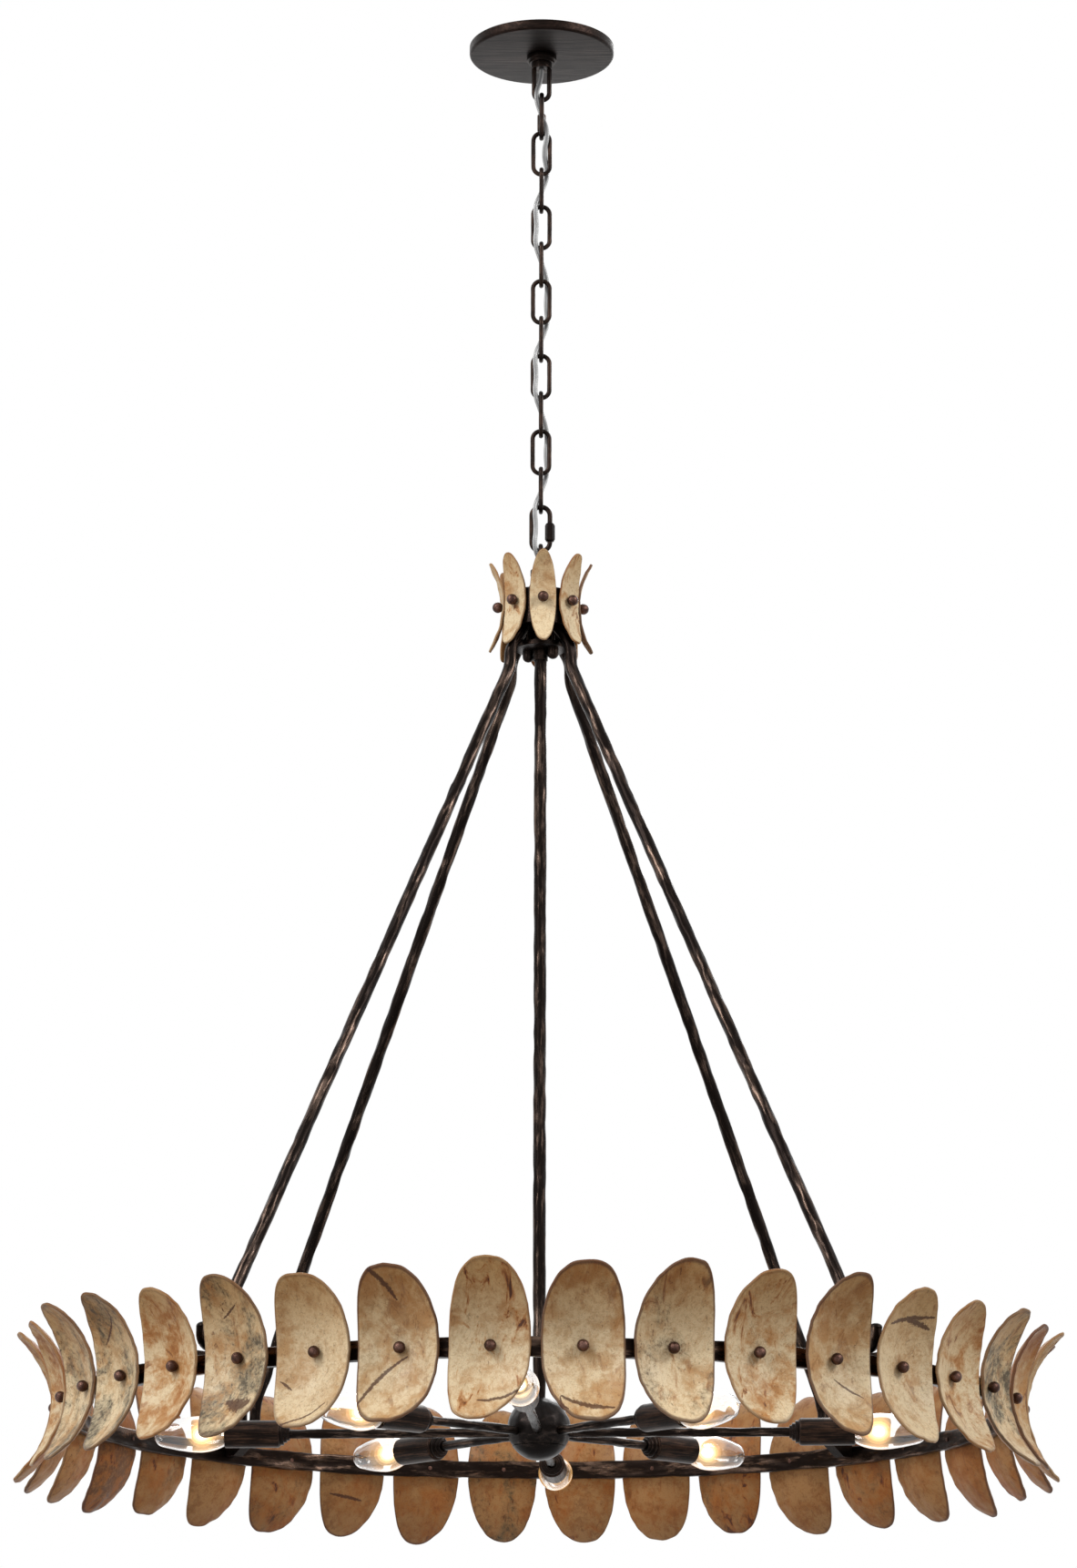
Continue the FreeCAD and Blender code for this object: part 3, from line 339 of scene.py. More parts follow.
@cache
def brushing() -> FigureTree:
    """Long fine strokes along the place's Z direction, in two widths.

    Returns:
        The group.
    """
    maker, start = TreeMaker.group("brushing", "Shader", {"Place": "Vector", "Strokes per metre": 1500.0}, FIGURES)
    place, scale = start["Place"], start["Strokes per metre"]
    fine = maker.clouds(maker.mapped(place, (1.0, 1.0, 0.02)), scale, 4.0, 0.7)
    wide = maker.clouds(maker.mapped(place, (0.25, 0.25, 0.012)), scale, 2.0, 0.6)
    both = maker.plus(maker.times(fine, 0.65), maker.times(wide, 0.35))
    maker.add("NodeGroupOutput", {"Mask": maker.span(both, 0.44, 0.62), "Height": both})
    return maker.tree


@cache
def stroke() -> FigureTree:
    """A ragged growth line between two spots, bowed to one side and thinner at its ends.

    Returns:
        The group.
    """
    maker, start = TreeMaker.group("growth_line", "Shader", dict.fromkeys(("Place", "From", "To"), "Vector"),
                                   {"Mask": "Float"})
    times, plus, minus, sums = maker.times, maker.plus, maker.minus, maker.maths
    spot, first, last = (maker.add("ShaderNodeSeparateXYZ", {0: start[name]}).outputs
                         for name in ("Place", "From", "To"))
    run_x, run_z = minus(last[0], first[0]), minus(last[1], first[1])
    off_x, off_z = minus(spot[0], first[0]), minus(spot[1], first[1])
    square = sums("MAXIMUM", plus(times(run_x, run_x), times(run_z, run_z)), 1e-8)
    length = sums("SQRT", square)
    along = sums("DIVIDE", plus(times(off_x, run_x), times(off_z, run_z)), square)
    held = sums("MINIMUM", sums("MAXIMUM", along, 0.0), 1.0)
    hump = times(times(held, minus(1.0, held)), 4.0)
    beside = sums("DIVIDE", minus(times(off_x, run_z), times(off_z, run_x)), length)
    beside = minus(beside, times(hump, first[2]))
    past = times(minus(along, held), length)
    far = sums("SQRT", plus(times(beside, beside), times(past, past)))
    ragged = maker.span(maker.clouds(start["Place"], 420.0, 3.0, 0.6), 0.3, 0.7, 0.55, 1.3)
    width = times(last[2], plus(times(hump, 0.6), 0.4))
    width = sums("MAXIMUM", times(width, ragged), 1e-6)
    maker.add("NodeGroupOutput", {"Mask": maker.span(sums("DIVIDE", far, width), 0.32, 0.62, 1.0, 0.0)})
    return maker.tree


@dataclass(frozen=True)
class MetalFinish:
    """An oil-rubbed or plated metal."""

    name: str
    ground: Colour
    # rubbed is the colour of worn patches, and on hammered metal also of the painted highlight on the crests.
    rubbed: Colour
    grain: Grain
    roughness: float = 0.42
    rubbing_share: float = 0.45
    bump: float = 0.25
    patches: float = 40.0
    strokes: float = 1500.0
    turn: Point = (0.0, 0.0, 0.0)
    metallic: float = 1.0

    def material(self) -> Material:
        """Build the material.

        Returns:
            The material.
        """
        material, maker = TreeMaker.material(self.name)
        times, plus, place = maker.times, maker.plus, maker.place()
        worn = maker.add("ShaderNodeGroup", {"Place": place, "Patches per metre": self.patches},
                         node_tree=rubbing()).outputs
        mask, height = worn["Mask"], worn["Height"]
        share = times(mask, self.rubbing_share)
        if self.grain in (Grain.BRUSHED, Grain.TURNED):
            if self.grain is Grain.TURNED:
                place = maker.attribute("turning", "Vector")
            strokes = maker.add("ShaderNodeGroup", {
                "Place": maker.mapped(place, (1.0, 1.0, 1.0), self.turn), "Strokes per metre": self.strokes},
                                node_tree=brushing()).outputs
            share = times(plus(times(mask, 0.5), 0.5), times(strokes["Mask"], self.rubbing_share))
            height = strokes["Height"]
        if self.grain is Grain.HAMMERED:
            drawn = maker.mapped(maker.attribute("struck", "Vector"), (0.45, 1.0, 1.0))
            streak, fine = maker.clouds(drawn, 1.5, 4.0, 0.58, 0.4), maker.clouds(drawn, 9.0, 5.0, 0.7)
            height = plus(times(streak, 0.72), times(fine, 0.28))
            # The paler colour on the dents' crests is partly wear on the high points and partly a painted highlight
            # along the facets.
            crest = maker.span(maker.attribute("crest"), 0.30, 0.98, 0.30, 1.0)
            share = times(plus(times(mask, 0.4), 0.6), times(crest, maker.span(height, 0.48, 0.64)))
            share = times(share, self.rubbing_share)
        maker.surface(
            Base_Color=maker.blend(share, self.ground, self.rubbed), Metallic=self.metallic,
            Roughness=maker.span(height, 0.3, 0.7, self.roughness + 0.1, self.roughness - 0.08),
            Normal=maker.bump(self.bump, 0.0006, height))
        return material


@dataclass(frozen=True)
class ShellFinish:
    """Cut and polished natural shell, cream to tan, with rust, mould, specks and growth lines."""

    name: str = "natural_cut_shell"
    cream: Colour = paint(228, 206, 168)
    tan: Colour = paint(190, 152, 106)
    back: Colour = paint(168, 126, 82)
    # shade is the multiply colour of the painted shade on the upper front faces and of the darker back faces.
    shade: Colour = paint(214, 190, 158)
    brown: Colour = paint(98, 62, 36)
    honey: Colour = paint(190, 132, 70)
    rust: Colour = paint(146, 88, 44)
    dark: Colour = paint(72, 38, 22)
    grey: Colour = paint(124, 118, 98)
    slate: Colour = paint(70, 64, 52)

    def material(self) -> Material:
        """Build the material from the values that each shell's mesh carries.

        Returns:
            The material.
        """
        material, maker = TreeMaker.material(self.name)
        times, plus = maker.times, maker.plus
        place = maker.attribute("figure", "Vector")
        tone = maker.add("ShaderNodeSeparateColor", {0: maker.attribute("tone", "Color")})
        warm, rusty, mouldy = tone.outputs[0], tone.outputs[1], tone.outputs[2]
        back, deep, spotty = maker.attribute("back"), maker.span(warm, 0.66, 1.0), maker.attribute("spotty")

        broad = maker.clouds(place, 15.0, 4.0, 0.55, 0.7)
        middle = maker.clouds(place, 52.0, 9.0, 0.70, 0.35)
        fine = maker.clouds(place, 210.0, 6.0, 0.72, 0.5)
        grit = maker.clouds(place, 700.0, 4.0, 0.7)
        drawn = maker.mapped(place, (1.0, 1.0, 0.45), (0.6, 0.3, 0.35))

        lift = plus(times(warm, 1.2), plus(maker.span(broad, 0.32, 0.68, -0.42, 0.42),
                                           maker.span(middle, 0.35, 0.65, -0.34, 0.34)))
        colour = maker.blend(maker.span(lift, -0.05, 1.0), self.cream, self.tan)
        colour = maker.blend(times(deep, 0.9), colour, self.brown)
        colour = maker.blend(times(back, maker.span(deep, 0.0, 1.0, 0.7, 0.0)), colour, self.back)
        colour = maker.blend(times(maker.span(fine, 0.46, 0.62), 0.45), colour, self.tan)

        mixed = plus(times(middle, 0.5), plus(times(broad, 0.55), times(fine, 0.15)))
        mottle = times(times(maker.span(plus(times(fine, 0.5), times(middle, 0.5)), 0.47, 0.60), back), 0.42)
        colour = maker.blend(mottle, colour, self.brown)
        stain = times(maker.span(mixed, 0.55, 0.72), plus(times(rusty, 0.9), times(back, 0.25)))
        colour = maker.blend(stain, colour, self.honey)
        stain = times(maker.span(mixed, 0.625, 0.78), plus(times(rusty, 0.9), times(back, 0.25)))
        colour = maker.blend(stain, colour, self.rust)
        cells = maker.clouds(drawn, 62.0, 7.0, 0.62, 1.0)
        where = times(maker.span(maker.clouds(place, 21.0, 2.0, 0.5), 0.30, 0.44), spotty)
        colour = maker.blend(times(times(maker.span(cells, 0.53, 0.62), where), 0.75), colour, self.honey)
        colour = maker.blend(times(times(maker.span(cells, 0.58, 0.63), where), 0.8), colour, self.rust)
        core = times(maker.span(cells, 0.62, 0.66), where)
        colour = maker.blend(times(core, 0.9), colour, self.dark)

        patch = maker.clouds(maker.mapped(place, (1.0, 1.0, 0.7), (0.3, 1.0, 0.1)), 24.0, 6.0, 0.64, 0.8)
        mould = times(maker.span(plus(times(patch, 0.75), times(fine, 0.25)), 0.46, 0.60), mouldy)
        colour = maker.blend(times(mould, 0.72), colour, self.grey)
        soot = times(maker.span(plus(times(patch, 0.55), times(fine, 0.5)), 0.565, 0.64), mouldy)
        colour = maker.blend(times(soot, 0.8), colour, self.slate)

        specks = times(maker.span(maker.clouds(drawn, 330.0, 4.0, 0.68, 0.8), 0.58, 0.66),
                       maker.span(middle, 0.40, 0.58))
        colour = maker.blend(times(specks, plus(0.45, times(mouldy, 0.45))), colour, self.brown)
        colour = maker.blend(times(maker.span(grit, 0.54, 0.68), 0.42), colour, self.brown)

        vein = maker.clouds(maker.mapped(place, (1.0, 1.0, 0.5), (0.2, 0.7, 0.4)), 26.0, 3.0, 0.55, 1.2)
        line = maker.span(maker.maths("ABSOLUTE", maker.minus(vein, 0.53)), 0.0, 0.004, 1.0, 0.0)
        line = times(line, maker.span(patch, 0.48, 0.58))
        colour = maker.blend(times(line, 0.5), colour, self.brown)
        hair = maker.clouds(maker.mapped(place, (1.0, 1.0, 0.3), (0.9, 0.4, 1.2)), 110.0, 2.0, 0.5, 2.4)
        scratch = maker.span(maker.maths("ABSOLUTE", maker.minus(hair, 0.5)), 0.0, 0.014, 1.0, 0.0)
        colour = maker.blend(times(times(scratch, 0.7), maker.attribute("scratched")), colour, self.tan)

        own = maker.attribute("own", "Vector")
        growth = 0.0
        for mark in ("first", "second"):
            drawn_line = maker.add("ShaderNodeGroup", {
                "Place": own, "From": maker.attribute(f"{mark}_from", "Vector"),
                "To": maker.attribute(f"{mark}_to", "Vector")}, node_tree=stroke())
            growth = maker.maths("MAXIMUM", growth, drawn_line.outputs["Mask"])
        colour = maker.blend(times(growth, 0.86), colour, self.dark)

        # Painted shade: the front face darkens towards its top, as if lit from above. The back face takes the same
        # darker tone all over as its own colour.
        top_painted_shade_and_back_tone = plus(times(maker.span(maker.attribute("aloft"), -0.01, 0.07), maker.span(back, 0.0, 1.0, 1.0, 0.0)), back)
        colour = maker.blend(top_painted_shade_and_back_tone, colour, maker.blend(1.0, colour, self.shade, "MULTIPLY"))
        wall = times(maker.span(maker.attribute("rim"), 0.55, 1.0), maker.attribute("edge"))
        colour = maker.blend(times(wall, 0.9), colour, self.dark)
        seat = times(maker.attribute("under_rivet"), maker.span(middle, 0.3, 0.6, 0.05, 0.5))
        colour = maker.blend(seat, colour, self.brown)

        height = plus(times(fine, 0.5), plus(times(line, -0.4), times(growth, -0.8)))
        maker.surface(Base_Color=colour, Roughness=maker.span(middle, 0.3, 0.7, 0.42, 0.6), Specular_IOR_Level=0.3,
                      Normal=maker.bump(0.3, 0.0009, height))
        return material


@dataclass(frozen=True)
class GlassFinish:
    """Clear thin bulb glass that catches a little of the lamp's own light, painted on as a faint warm glow near the
    filament.
    """

    name: str = "clear_bulb_glass"
    glow: Colour = paint(255, 196, 120)
    glow_strength: float = 0.16

    def material(self) -> Material:
        """Build the material.

        Returns:
            The material.
        """
        material, maker = TreeMaker.material(self.name)
        # Painted light: the glass glows warm where it lies level with the filament.
        painted_glow = maker.blend(maker.span(maker.attribute("lit"), 0.0, 1.0), BLACK, self.glow)
        swirl = maker.clouds(maker.place(), 60.0, 2.0, 0.4)
        maker.surface(Base_Color=WHITE, Roughness=0.0, Transmission_Weight=1.0, IOR=1.46, Emission_Color=painted_glow,
                      Emission_Strength=self.glow_strength, Normal=maker.bump(0.04, 0.0004, swirl))
        return material


@dataclass(frozen=True)
class FilamentFinish:
    """The white-hot wire."""

    name: str = "hot_filament"
    hot: Colour = paint(255, 226, 170)
    warm: Colour = paint(255, 176, 84)
    cold: Colour = (0.3, 0.3, 0.3, 1.0)
    strength: float = 38.0

    def material(self) -> Material:
        """Build the material, hotter in some turns of the coil than in others.

        Returns:
            The material.
        """
        material, maker = TreeMaker.material(self.name)
        coil = maker.clouds(maker.place(), 1800.0, 2.0, 0.5)
        glow = maker.blend(maker.span(coil, 0.35, 0.65), self.warm, self.hot)
        maker.surface(Base_Color=self.cold, Roughness=0.5, Emission_Color=glow, Emission_Strength=self.strength,
                      Normal=maker.bump(0.3, 0.0002, coil))
        return material


@dataclass(frozen=True)
class HaloFinish:
    """The soft glow of the hot wire, thinner on each outer veil."""

    name: str = "filament_glow"
    inner: Colour = paint(255, 244, 220)
    outer: Colour = paint(255, 204, 132)
    strength: float = 3.2

    def material(self) -> Material:
        """Build the material.

        Returns:
            The material.
        """
        material, maker = TreeMaker.material(self.name)
        veil = maker.attribute("veil")
        drift = maker.span(maker.clouds(maker.place(), 260.0, 2.0, 0.5), 0.3, 0.7, 0.85, 1.1)
        colour = maker.blend(maker.span(veil, 0.05, 0.4), self.outer, self.inner)
        maker.surface(Base_Color=BLACK, Roughness=1.0, Specular_IOR_Level=0.0, Alpha=maker.times(veil, drift),
                      Emission_Color=colour, Emission_Strength=self.strength)
        return material


@dataclass(frozen=True)
class CordFinish:
    """Silver-grey flat two-core cord, its strands seen through a clear skin."""

    name: str = "silver_flat_cord"
    light: Colour = paint(188, 188, 186)
    shade: Colour = paint(112, 112, 114)

    def material(self) -> Material:
        """Build the material: twisted strands along the cord and a darker valley between its cores.

        Returns:
            The material.
        """
        material, maker = TreeMaker.material(self.name)
        place = maker.attribute("lay", "Vector")
        strands = maker.add("ShaderNodeTexWave", {
            "Vector": maker.mapped(place, (1.0, 1.0, 1.0), (0.0, 0.0, 0.6)), "Scale": 260.0, "Distortion": 0.6,
            "Detail": 1.0}, bands_direction="X").outputs[1]
        dust = maker.clouds(place, 300.0, 4.0, 0.6)
        colour = maker.blend(maker.span(strands, 0.1, 0.9, 0.0, 0.8), self.light, self.shade)
        colour = maker.blend(maker.times(maker.span(dust, 0.5, 0.7), 0.3), colour, self.shade)
        colour = maker.blend(maker.attribute("valley"), colour, self.shade)
        maker.surface(Base_Color=colour, Metallic=0.35, Roughness=maker.span(dust, 0.3, 0.7, 0.28, 0.42),
                      Normal=maker.bump(0.3, 0.0003, strands))
        return material


class Finishes:
    """Every material, made once."""

    def __init__(self) -> None:
        """Build them."""
        plain, hammered = Grain.PLAIN, Grain.HAMMERED
        self.shell = ShellFinish().material()
        self.glass = GlassFinish().material()
        self.filament = FilamentFinish().material()
        self.halo = HaloFinish().material()
        self.cord = CordFinish().material()
        self.forged = self.metal("forged_bronze", (26, 21, 19), (122, 102, 90), hammered, 0.30, 0.8, 0.4, 55.0)
        self.hoop = self.metal("forged_hoop_bronze", (30, 23, 20), (134, 108, 92), hammered, 0.32, 0.85, 0.4, 45.0)
        self.hub = self.metal("dark_hub_bronze", (27, 24, 23), (84, 72, 66), hammered, 0.34, 0.5, 0.25, 70.0)
        self.smooth = self.metal("oil_rubbed_bronze", (30, 25, 23), (70, 54, 46), plain, 0.34, 0.4, 0.2, 60.0)
        self.rivet = self.metal("rivet_bronze", (62, 44, 38), (118, 88, 78), plain, 0.34, 0.6, 0.5, 150.0)
        self.canopy = self.metal("brushed_canopy_bronze", (24, 19, 17), (62, 47, 41), Grain.BRUSHED, 0.4, 0.7, 0.3,
                                 25.0, 1400.0, (0.0, 1.5708, 0.12))
        self.cup = self.metal("brushed_cup_bronze", (28, 23, 21), (84, 62, 50), Grain.TURNED, 0.40, 0.75, 0.35, 60.0,
                              2600.0, (1.5708, 0.0, 0.0))
        self.holder = self.metal("black_lampholder", (30, 29, 28), (70, 68, 66), plain, 0.5, 0.3, 0.2, 90.0,
                                 metallic=0.0)
        self.steel = self.metal("zinc_plated_steel", (150, 150, 148), (190, 188, 180), plain, 0.34, 0.6, 0.15, 50.0)
        self.brass = self.metal("nickel_base", (160, 156, 146), (196, 190, 176), plain, 0.28, 0.5, 0.1, 120.0)
        self.earth = self.metal("green_earth_screw", (32, 96, 52), (72, 140, 84), plain, 0.35, 0.5, 0.2, 300.0)

    @staticmethod
    def metal(name: str, ground: tuple[int, int, int], rubbed: tuple[int, int, int], *figures: object,
              **more: object) -> Material:
        """Build one metal from its two screen colours and the rest of a MetalFinish's fields in their order."""
        return MetalFinish(name, paint(*ground), paint(*rubbed), *figures, **more).material()


def mesh_object(name: str, points: Sequence[Sequence[float]], faces: Sequence[Sequence[int]],
                material: Material | None = None, sharp: float = 40.0) -> Piece:
    """Make an object of points and faces, its faces pointing out.

    Args:
        name: The piece's name.
        points: Its points.
        faces: Its faces as point numbers.
        material: Its material.
        sharp: The angle in degrees past which an edge stays sharp.

    Returns:
        The object, linked to the scene.
    """
    mesh = bpy.data.meshes.new(name)
    mesh.from_pydata([tuple(p) for p in points], [], [tuple(f) for f in faces])
    mesh.validate()
    piece = linked(name, mesh)
    if material is not None:
        mesh.materials.append(material)
    face_out(mesh)
    mesh.shade_smooth()
    mesh.set_sharp_from_angle(angle=math.radians(sharp))
    return piece


def linked(name: str, data: bpy.types.ID) -> Piece:
    """Make an object and link it to the scene.

    Args:
        name: Its name.
        data: Its mesh, curve, camera or light.

    Returns:
        The object.
    """
    thing = bpy.data.objects.new(name, data)
    bpy.context.scene.collection.objects.link(thing)
    return thing


def carry(piece: Piece, name: str, values: Sequence[float]) -> None:
    """Store one figure, or three, on each point of a piece.

    Args:
        piece: The piece.
        name: The name that its material reads them by.
        values: All the figures in a row, or one for every point alike.
    """
    count = len(piece.data.vertices)
    values = list(values) * (count if len(values) == 1 else 1)
    wide = len(values) == 3 * count
    stored = piece.data.attributes.new(name, "FLOAT_VECTOR" if wide else "FLOAT", "POINT")
    stored.data.foreach_set("vector" if wide else "value", values)


def tube(rows: int, count: int, ring: bool = False) -> list[tuple[int, ...]]:
    """Join rows of points into a tube.

    Args:
        rows: The number of rows.
        count: The points in each row.
        ring: Whether the last row joins the first, in place of a cap at each end.

    Returns:
        The faces.
    """
    faces = []
    for row in range(rows if ring else rows - 1):
        for k in range(count):
            low, high, nxt = row * count, (row + 1) % rows * count, (k + 1) % count
            faces.append((low + k, low + nxt, high + nxt, high + k))
    if not ring:
        faces += [tuple(range(count))[::-1], tuple(range((rows - 1) * count, rows * count))]
    return faces


def face_out(mesh: bpy.types.Mesh) -> None:
    """Turn a closed mesh's faces outwards, going by its signed volume.

    Args:
        mesh: The mesh.
    """
    mesh.calc_loop_triangles()
    corners = np.zeros(len(mesh.vertices) * 3, np.float32)
    mesh.vertices.foreach_get("co", corners)
    corners = corners.reshape(-1, 3).astype(float)
    index = np.zeros(len(mesh.loop_triangles) * 3, np.int32)
    mesh.loop_triangles.foreach_get("vertices", index)
    a, b, c = (corners[index.reshape(-1, 3)[:, k]] for k in range(3))
    middle = corners.mean(0)
    if float(np.einsum("ij,ij->i", a - middle, np.cross(b - middle, c - middle)).sum()) < 0:
        mesh.flip_normals()


def lathe(name: str, outline: Outline, material: Material, segments: int = 64,
          closed: bool = False, sharp: float = 32.0) -> Piece:
    """Turn an outline of radius and height about the Z axis.

    Args:
        name: The piece's name.
        outline: Points of radius and height. A radius of 0 closes the piece at a pole.
        material: Its material.
        segments: Steps round the axis.
        closed: Whether the outline's last point joins its first.
        sharp: The angle in degrees past which an edge stays sharp.

    Returns:
        The object, with a turning attribute of its angle and height.
    """
    points: list[Point] = []
    rows: list[list[int]] = []
    for radius, height in outline:
        if radius < 1e-7:
            points.append((0.0, 0.0, height))
            rows.append([len(points) - 1] * segments)
            continue
        first = len(points)
        points += [(radius * math.sin(a), -radius * math.cos(a), height) for a in ring_of(segments)]
        rows.append(list(range(first, first + segments)))
    pairs = list(zip(rows, rows[1:])) + ([(rows[-1], rows[0])] if closed else [])
    piece = mesh_object(name, points, between(pairs), material, sharp)
    turning = []
    for x, y, z in (v.co for v in piece.data.vertices):
        turning += [math.hypot(x, y), z, 0.006 * math.atan2(x, -y)]
    carry(piece, "turning", turning)
    return piece


def between(pairs: Iterable[tuple[Sequence[int], Sequence[int]]]) -> list[tuple[int, ...]]:
    """Fill the strips between closed rows of points, in which a pole's number stands all along its row.

    Args:
        pairs: The rows on either side of each strip.

    Returns:
        The faces.
    """
    faces = []
    for low, high in pairs:
        for k, nxt in enumerate([*range(1, len(low)), 0]):
            corner = tuple(dict.fromkeys((low[k], low[nxt], high[nxt], high[k])))
            if len(corner) > 2:
                faces.append(corner)
    return faces


def eased(outline: Outline, radius: float, steps: int = 3) -> Outline:
    """Round an outline's corners a little.

    Args:
        outline: The corners.
        radius: How far the rounding reaches along each side.
        steps: Points in each rounding.

    Returns:
        The rounded outline, its two ends as they were.
    """
    out = [outline[0]]
    for before, corner, after in zip(outline, outline[1:], outline[2:]):
        p, q, r = Vector(before), Vector(corner), Vector(after)
        near = min(radius, (q - p).length * 0.45, (r - q).length * 0.45)
        start, end = q + (p - q).normalized() * near, q + (r - q).normalized() * near
        for k in range(steps + 1):
            t = k / steps
            spot = start * (1 - t) ** 2 + q * 2 * t * (1 - t) + end * t ** 2
            out.append((spot.x, spot.y))
    return out + [outline[-1]]


def arced(corners: Sequence[Point], radii: Sequence[float], step: float) -> list[Vector]:
    """A bar's centre line through its corners, with an arc at each inner one.

    Args:
        corners: The ends and corners.
        radii: The arc's radius at each inner corner.
        step: The distance between points on an arc.

    Returns:
        The centre line's points.
    """
    spots = [Vector(corners[0])]
    for before, corner, after, radius in zip(corners, corners[1:], corners[2:], radii):
        p, q, r = Vector(before), Vector(corner), Vector(after)
        into, out = (q - p).normalized(), (r - q).normalized()
        half = into.angle(out) / 2
        centre = q + (out - into).normalized() * (radius / math.cos(half))
        start = q - into * radius * math.tan(half)
        turn = into.cross(out).normalized()
        count = max(3, int(radius * 2 * half / step))
        for k in range(count + 1):
            spin = Matrix.Rotation(2 * half * k / count, 3, turn)
            spots.append(centre + spin @ (start - centre))
    return spots + [Vector(corners[-1])]


def line_object(spots: Sequence[Sequence[float]], cyclic: bool = False) -> Piece:
    """A bare line of points, as the start of a bar.

    Args:
        spots: The points.
        cyclic: Whether the last one joins the first.

    Returns:
        The line.
    """
    mesh = bpy.data.meshes.new("line")
    edges = [(k, k + 1) for k in range(len(spots) - 1)] + ([(len(spots) - 1, 0)] if cyclic else [])
    mesh.from_pydata([tuple(p) for p in spots], edges, [])
    return linked("line", mesh)


def joined(name: str, parts: Iterable[Piece]) -> Piece:
    """Join objects at the origin into one piece.

    Args:
        name: The piece's name.
        parts: The objects. They are used up.

    Returns:
        The piece.
    """
    parts = list(parts)
    with bpy.context.temp_override(active_object=parts[0], object=parts[0], selected_objects=parts,
                                   selected_editable_objects=parts):
        bpy.ops.object.join()
    parts[0].name = name
    parts[0].data.name = name
    return parts[0]


def placed(piece: Piece, where: Matrix) -> Piece:
    """Move a piece's mesh, leaving its object at the origin."""
    piece.data.transform(where)
    return piece


def form_tree(name: str, inputs: dict[str, str | float]) -> tuple[TreeMaker, Sockets]:
    """Start a tree that takes and gives geometry."""
    return TreeMaker.group(name, "Geometry", {"Geometry": "Geometry", **inputs}, {"Geometry": "Geometry"})


def kept(maker: TreeMaker, geometry: object, name: str, value: object, kind: str = "FLOAT") -> Socket:
    """Geometry that carries a figure on each point."""
    return maker.add("GeometryNodeStoreNamedAttribute", {"Geometry": geometry, "Name": name, "Value": value},
                     data_type=kind, domain="POINT").outputs[0]


def close(maker: TreeMaker, geometry: object, start: Sockets) -> None:
    """End a tree in real, dressed geometry.

    Args:
        maker: The tree's maker.
        geometry: What it made.
        start: The tree's inputs.
    """
    real = maker.add("GeometryNodeRealizeInstances", {"Geometry": geometry})
    dressed = maker.add("GeometryNodeSetMaterial", {"Geometry": real, "Material": start["Material"]})
    maker.add("NodeGroupOutput", {0: dressed})


def close_hammered(maker: TreeMaker, geometry: object, place: object, start: Sockets) -> None:
    """End a tree in hammered, smooth, dressed geometry.

    Args:
        maker: The tree's maker.
        geometry: What it made.
        place: Where each of its points lies among the dents.
        start: The tree's inputs.
    """
    skin = maker.add("GeometryNodeGroup", {
        "Geometry": geometry, "Place": place, "Dent depth": start["Dent depth"], "Seed": start["Seed"]},
                     node_tree=hammered_skin())
    close(maker, maker.add("GeometryNodeSetShadeSmooth", {"Geometry": skin}).outputs[0], start)


@cache
def hammered_skin() -> FormTree:
    """Dents struck into a surface from the place that its points carry, and how high each point stays.

    Returns:
        The tree.
    """
    maker, start = form_tree("hammered_skin", {"Place": "Vector", "Dent depth": 0.0008, "Seed": 0.0})
    place = maker.vectors("ADD", start["Place"], maker.together(start["Seed"], 3.7, start["Seed"]))
    wander = maker.add("ShaderNodeTexNoise", {"Vector": place, "Scale": 1.3, "Detail": 1.0}).outputs
    bent = maker.vectors("ADD", place, maker.vectors("SCALE", wander["Color"], 0.9))
    dents = maker.add("ShaderNodeTexVoronoi", {"Vector": bent, "Scale": 1.0, "Smoothness": 0.35}, feature="SMOOTH_F1")
    crest = maker.span(dents.outputs[0], 0.12, 0.72)
    swell = maker.times(maker.minus(wander[0], 0.62), 0.8)
    depth = maker.times(maker.plus(maker.minus(crest, 1.0), swell), start["Dent depth"])
    push = maker.vectors("SCALE", maker.add("GeometryNodeInputNormal").outputs[0], depth)
    moved = maker.add("GeometryNodeSetPosition", {"Geometry": start[0], "Offset": push}).outputs[0]
    struck = kept(maker, kept(maker, moved, "crest", crest), "struck", place, "FLOAT_VECTOR")
    maker.add("NodeGroupOutput", {0: struck})
    return maker.tree


@cache
def forged_bar() -> FormTree:
    """A round bar along a line of edges, its skin hammered.

    Returns:
        The tree.
    """
    maker, start = form_tree("forged_bar", {
        "Diameter": 0.01, "Step": 0.0025, "Sides": 28, "Dent length": 0.028, "Dents round": 0.8,
        "Dent depth": 0.0, "Seed": 0.0, "Material": "Material"})
    line = maker.add("GeometryNodeMeshToCurve", {"Mesh": start[0]}).outputs[0]
    even = maker.add("GeometryNodeResampleCurve", {"Curve": line, "Length": start["Step"]}, mode="LENGTH")
    run = maker.add("GeometryNodeSplineParameter").outputs["Length"]
    along = kept(maker, even.outputs[0], "along", run)
    profile = maker.add("GeometryNodeCurvePrimitiveCircle", {
        "Resolution": start["Sides"], "Radius": maker.times(start["Diameter"], 0.5)}, mode="RADIUS").outputs[0]
    share = maker.add("GeometryNodeSplineParameter").outputs["Factor"]
    swept = maker.add("GeometryNodeCurveToMesh", {
        "Curve": along, "Profile Curve": kept(maker, profile, "around", share), "Fill Caps": True})
    far, turn = (maker.add("GeometryNodeInputNamedAttribute", {"Name": name}, data_type="FLOAT").outputs[0]
                 for name in ("along", "around"))
    angle, spread = maker.times(turn, FULL_TURN), start["Dents round"]
    place = maker.together(maker.maths("DIVIDE", far, start["Dent length"]),
                           maker.times(maker.maths("COSINE", angle), spread),
                           maker.times(maker.maths("SINE", angle), spread))
    close_hammered(maker, swept.outputs[0], place, start)
    return maker.tree


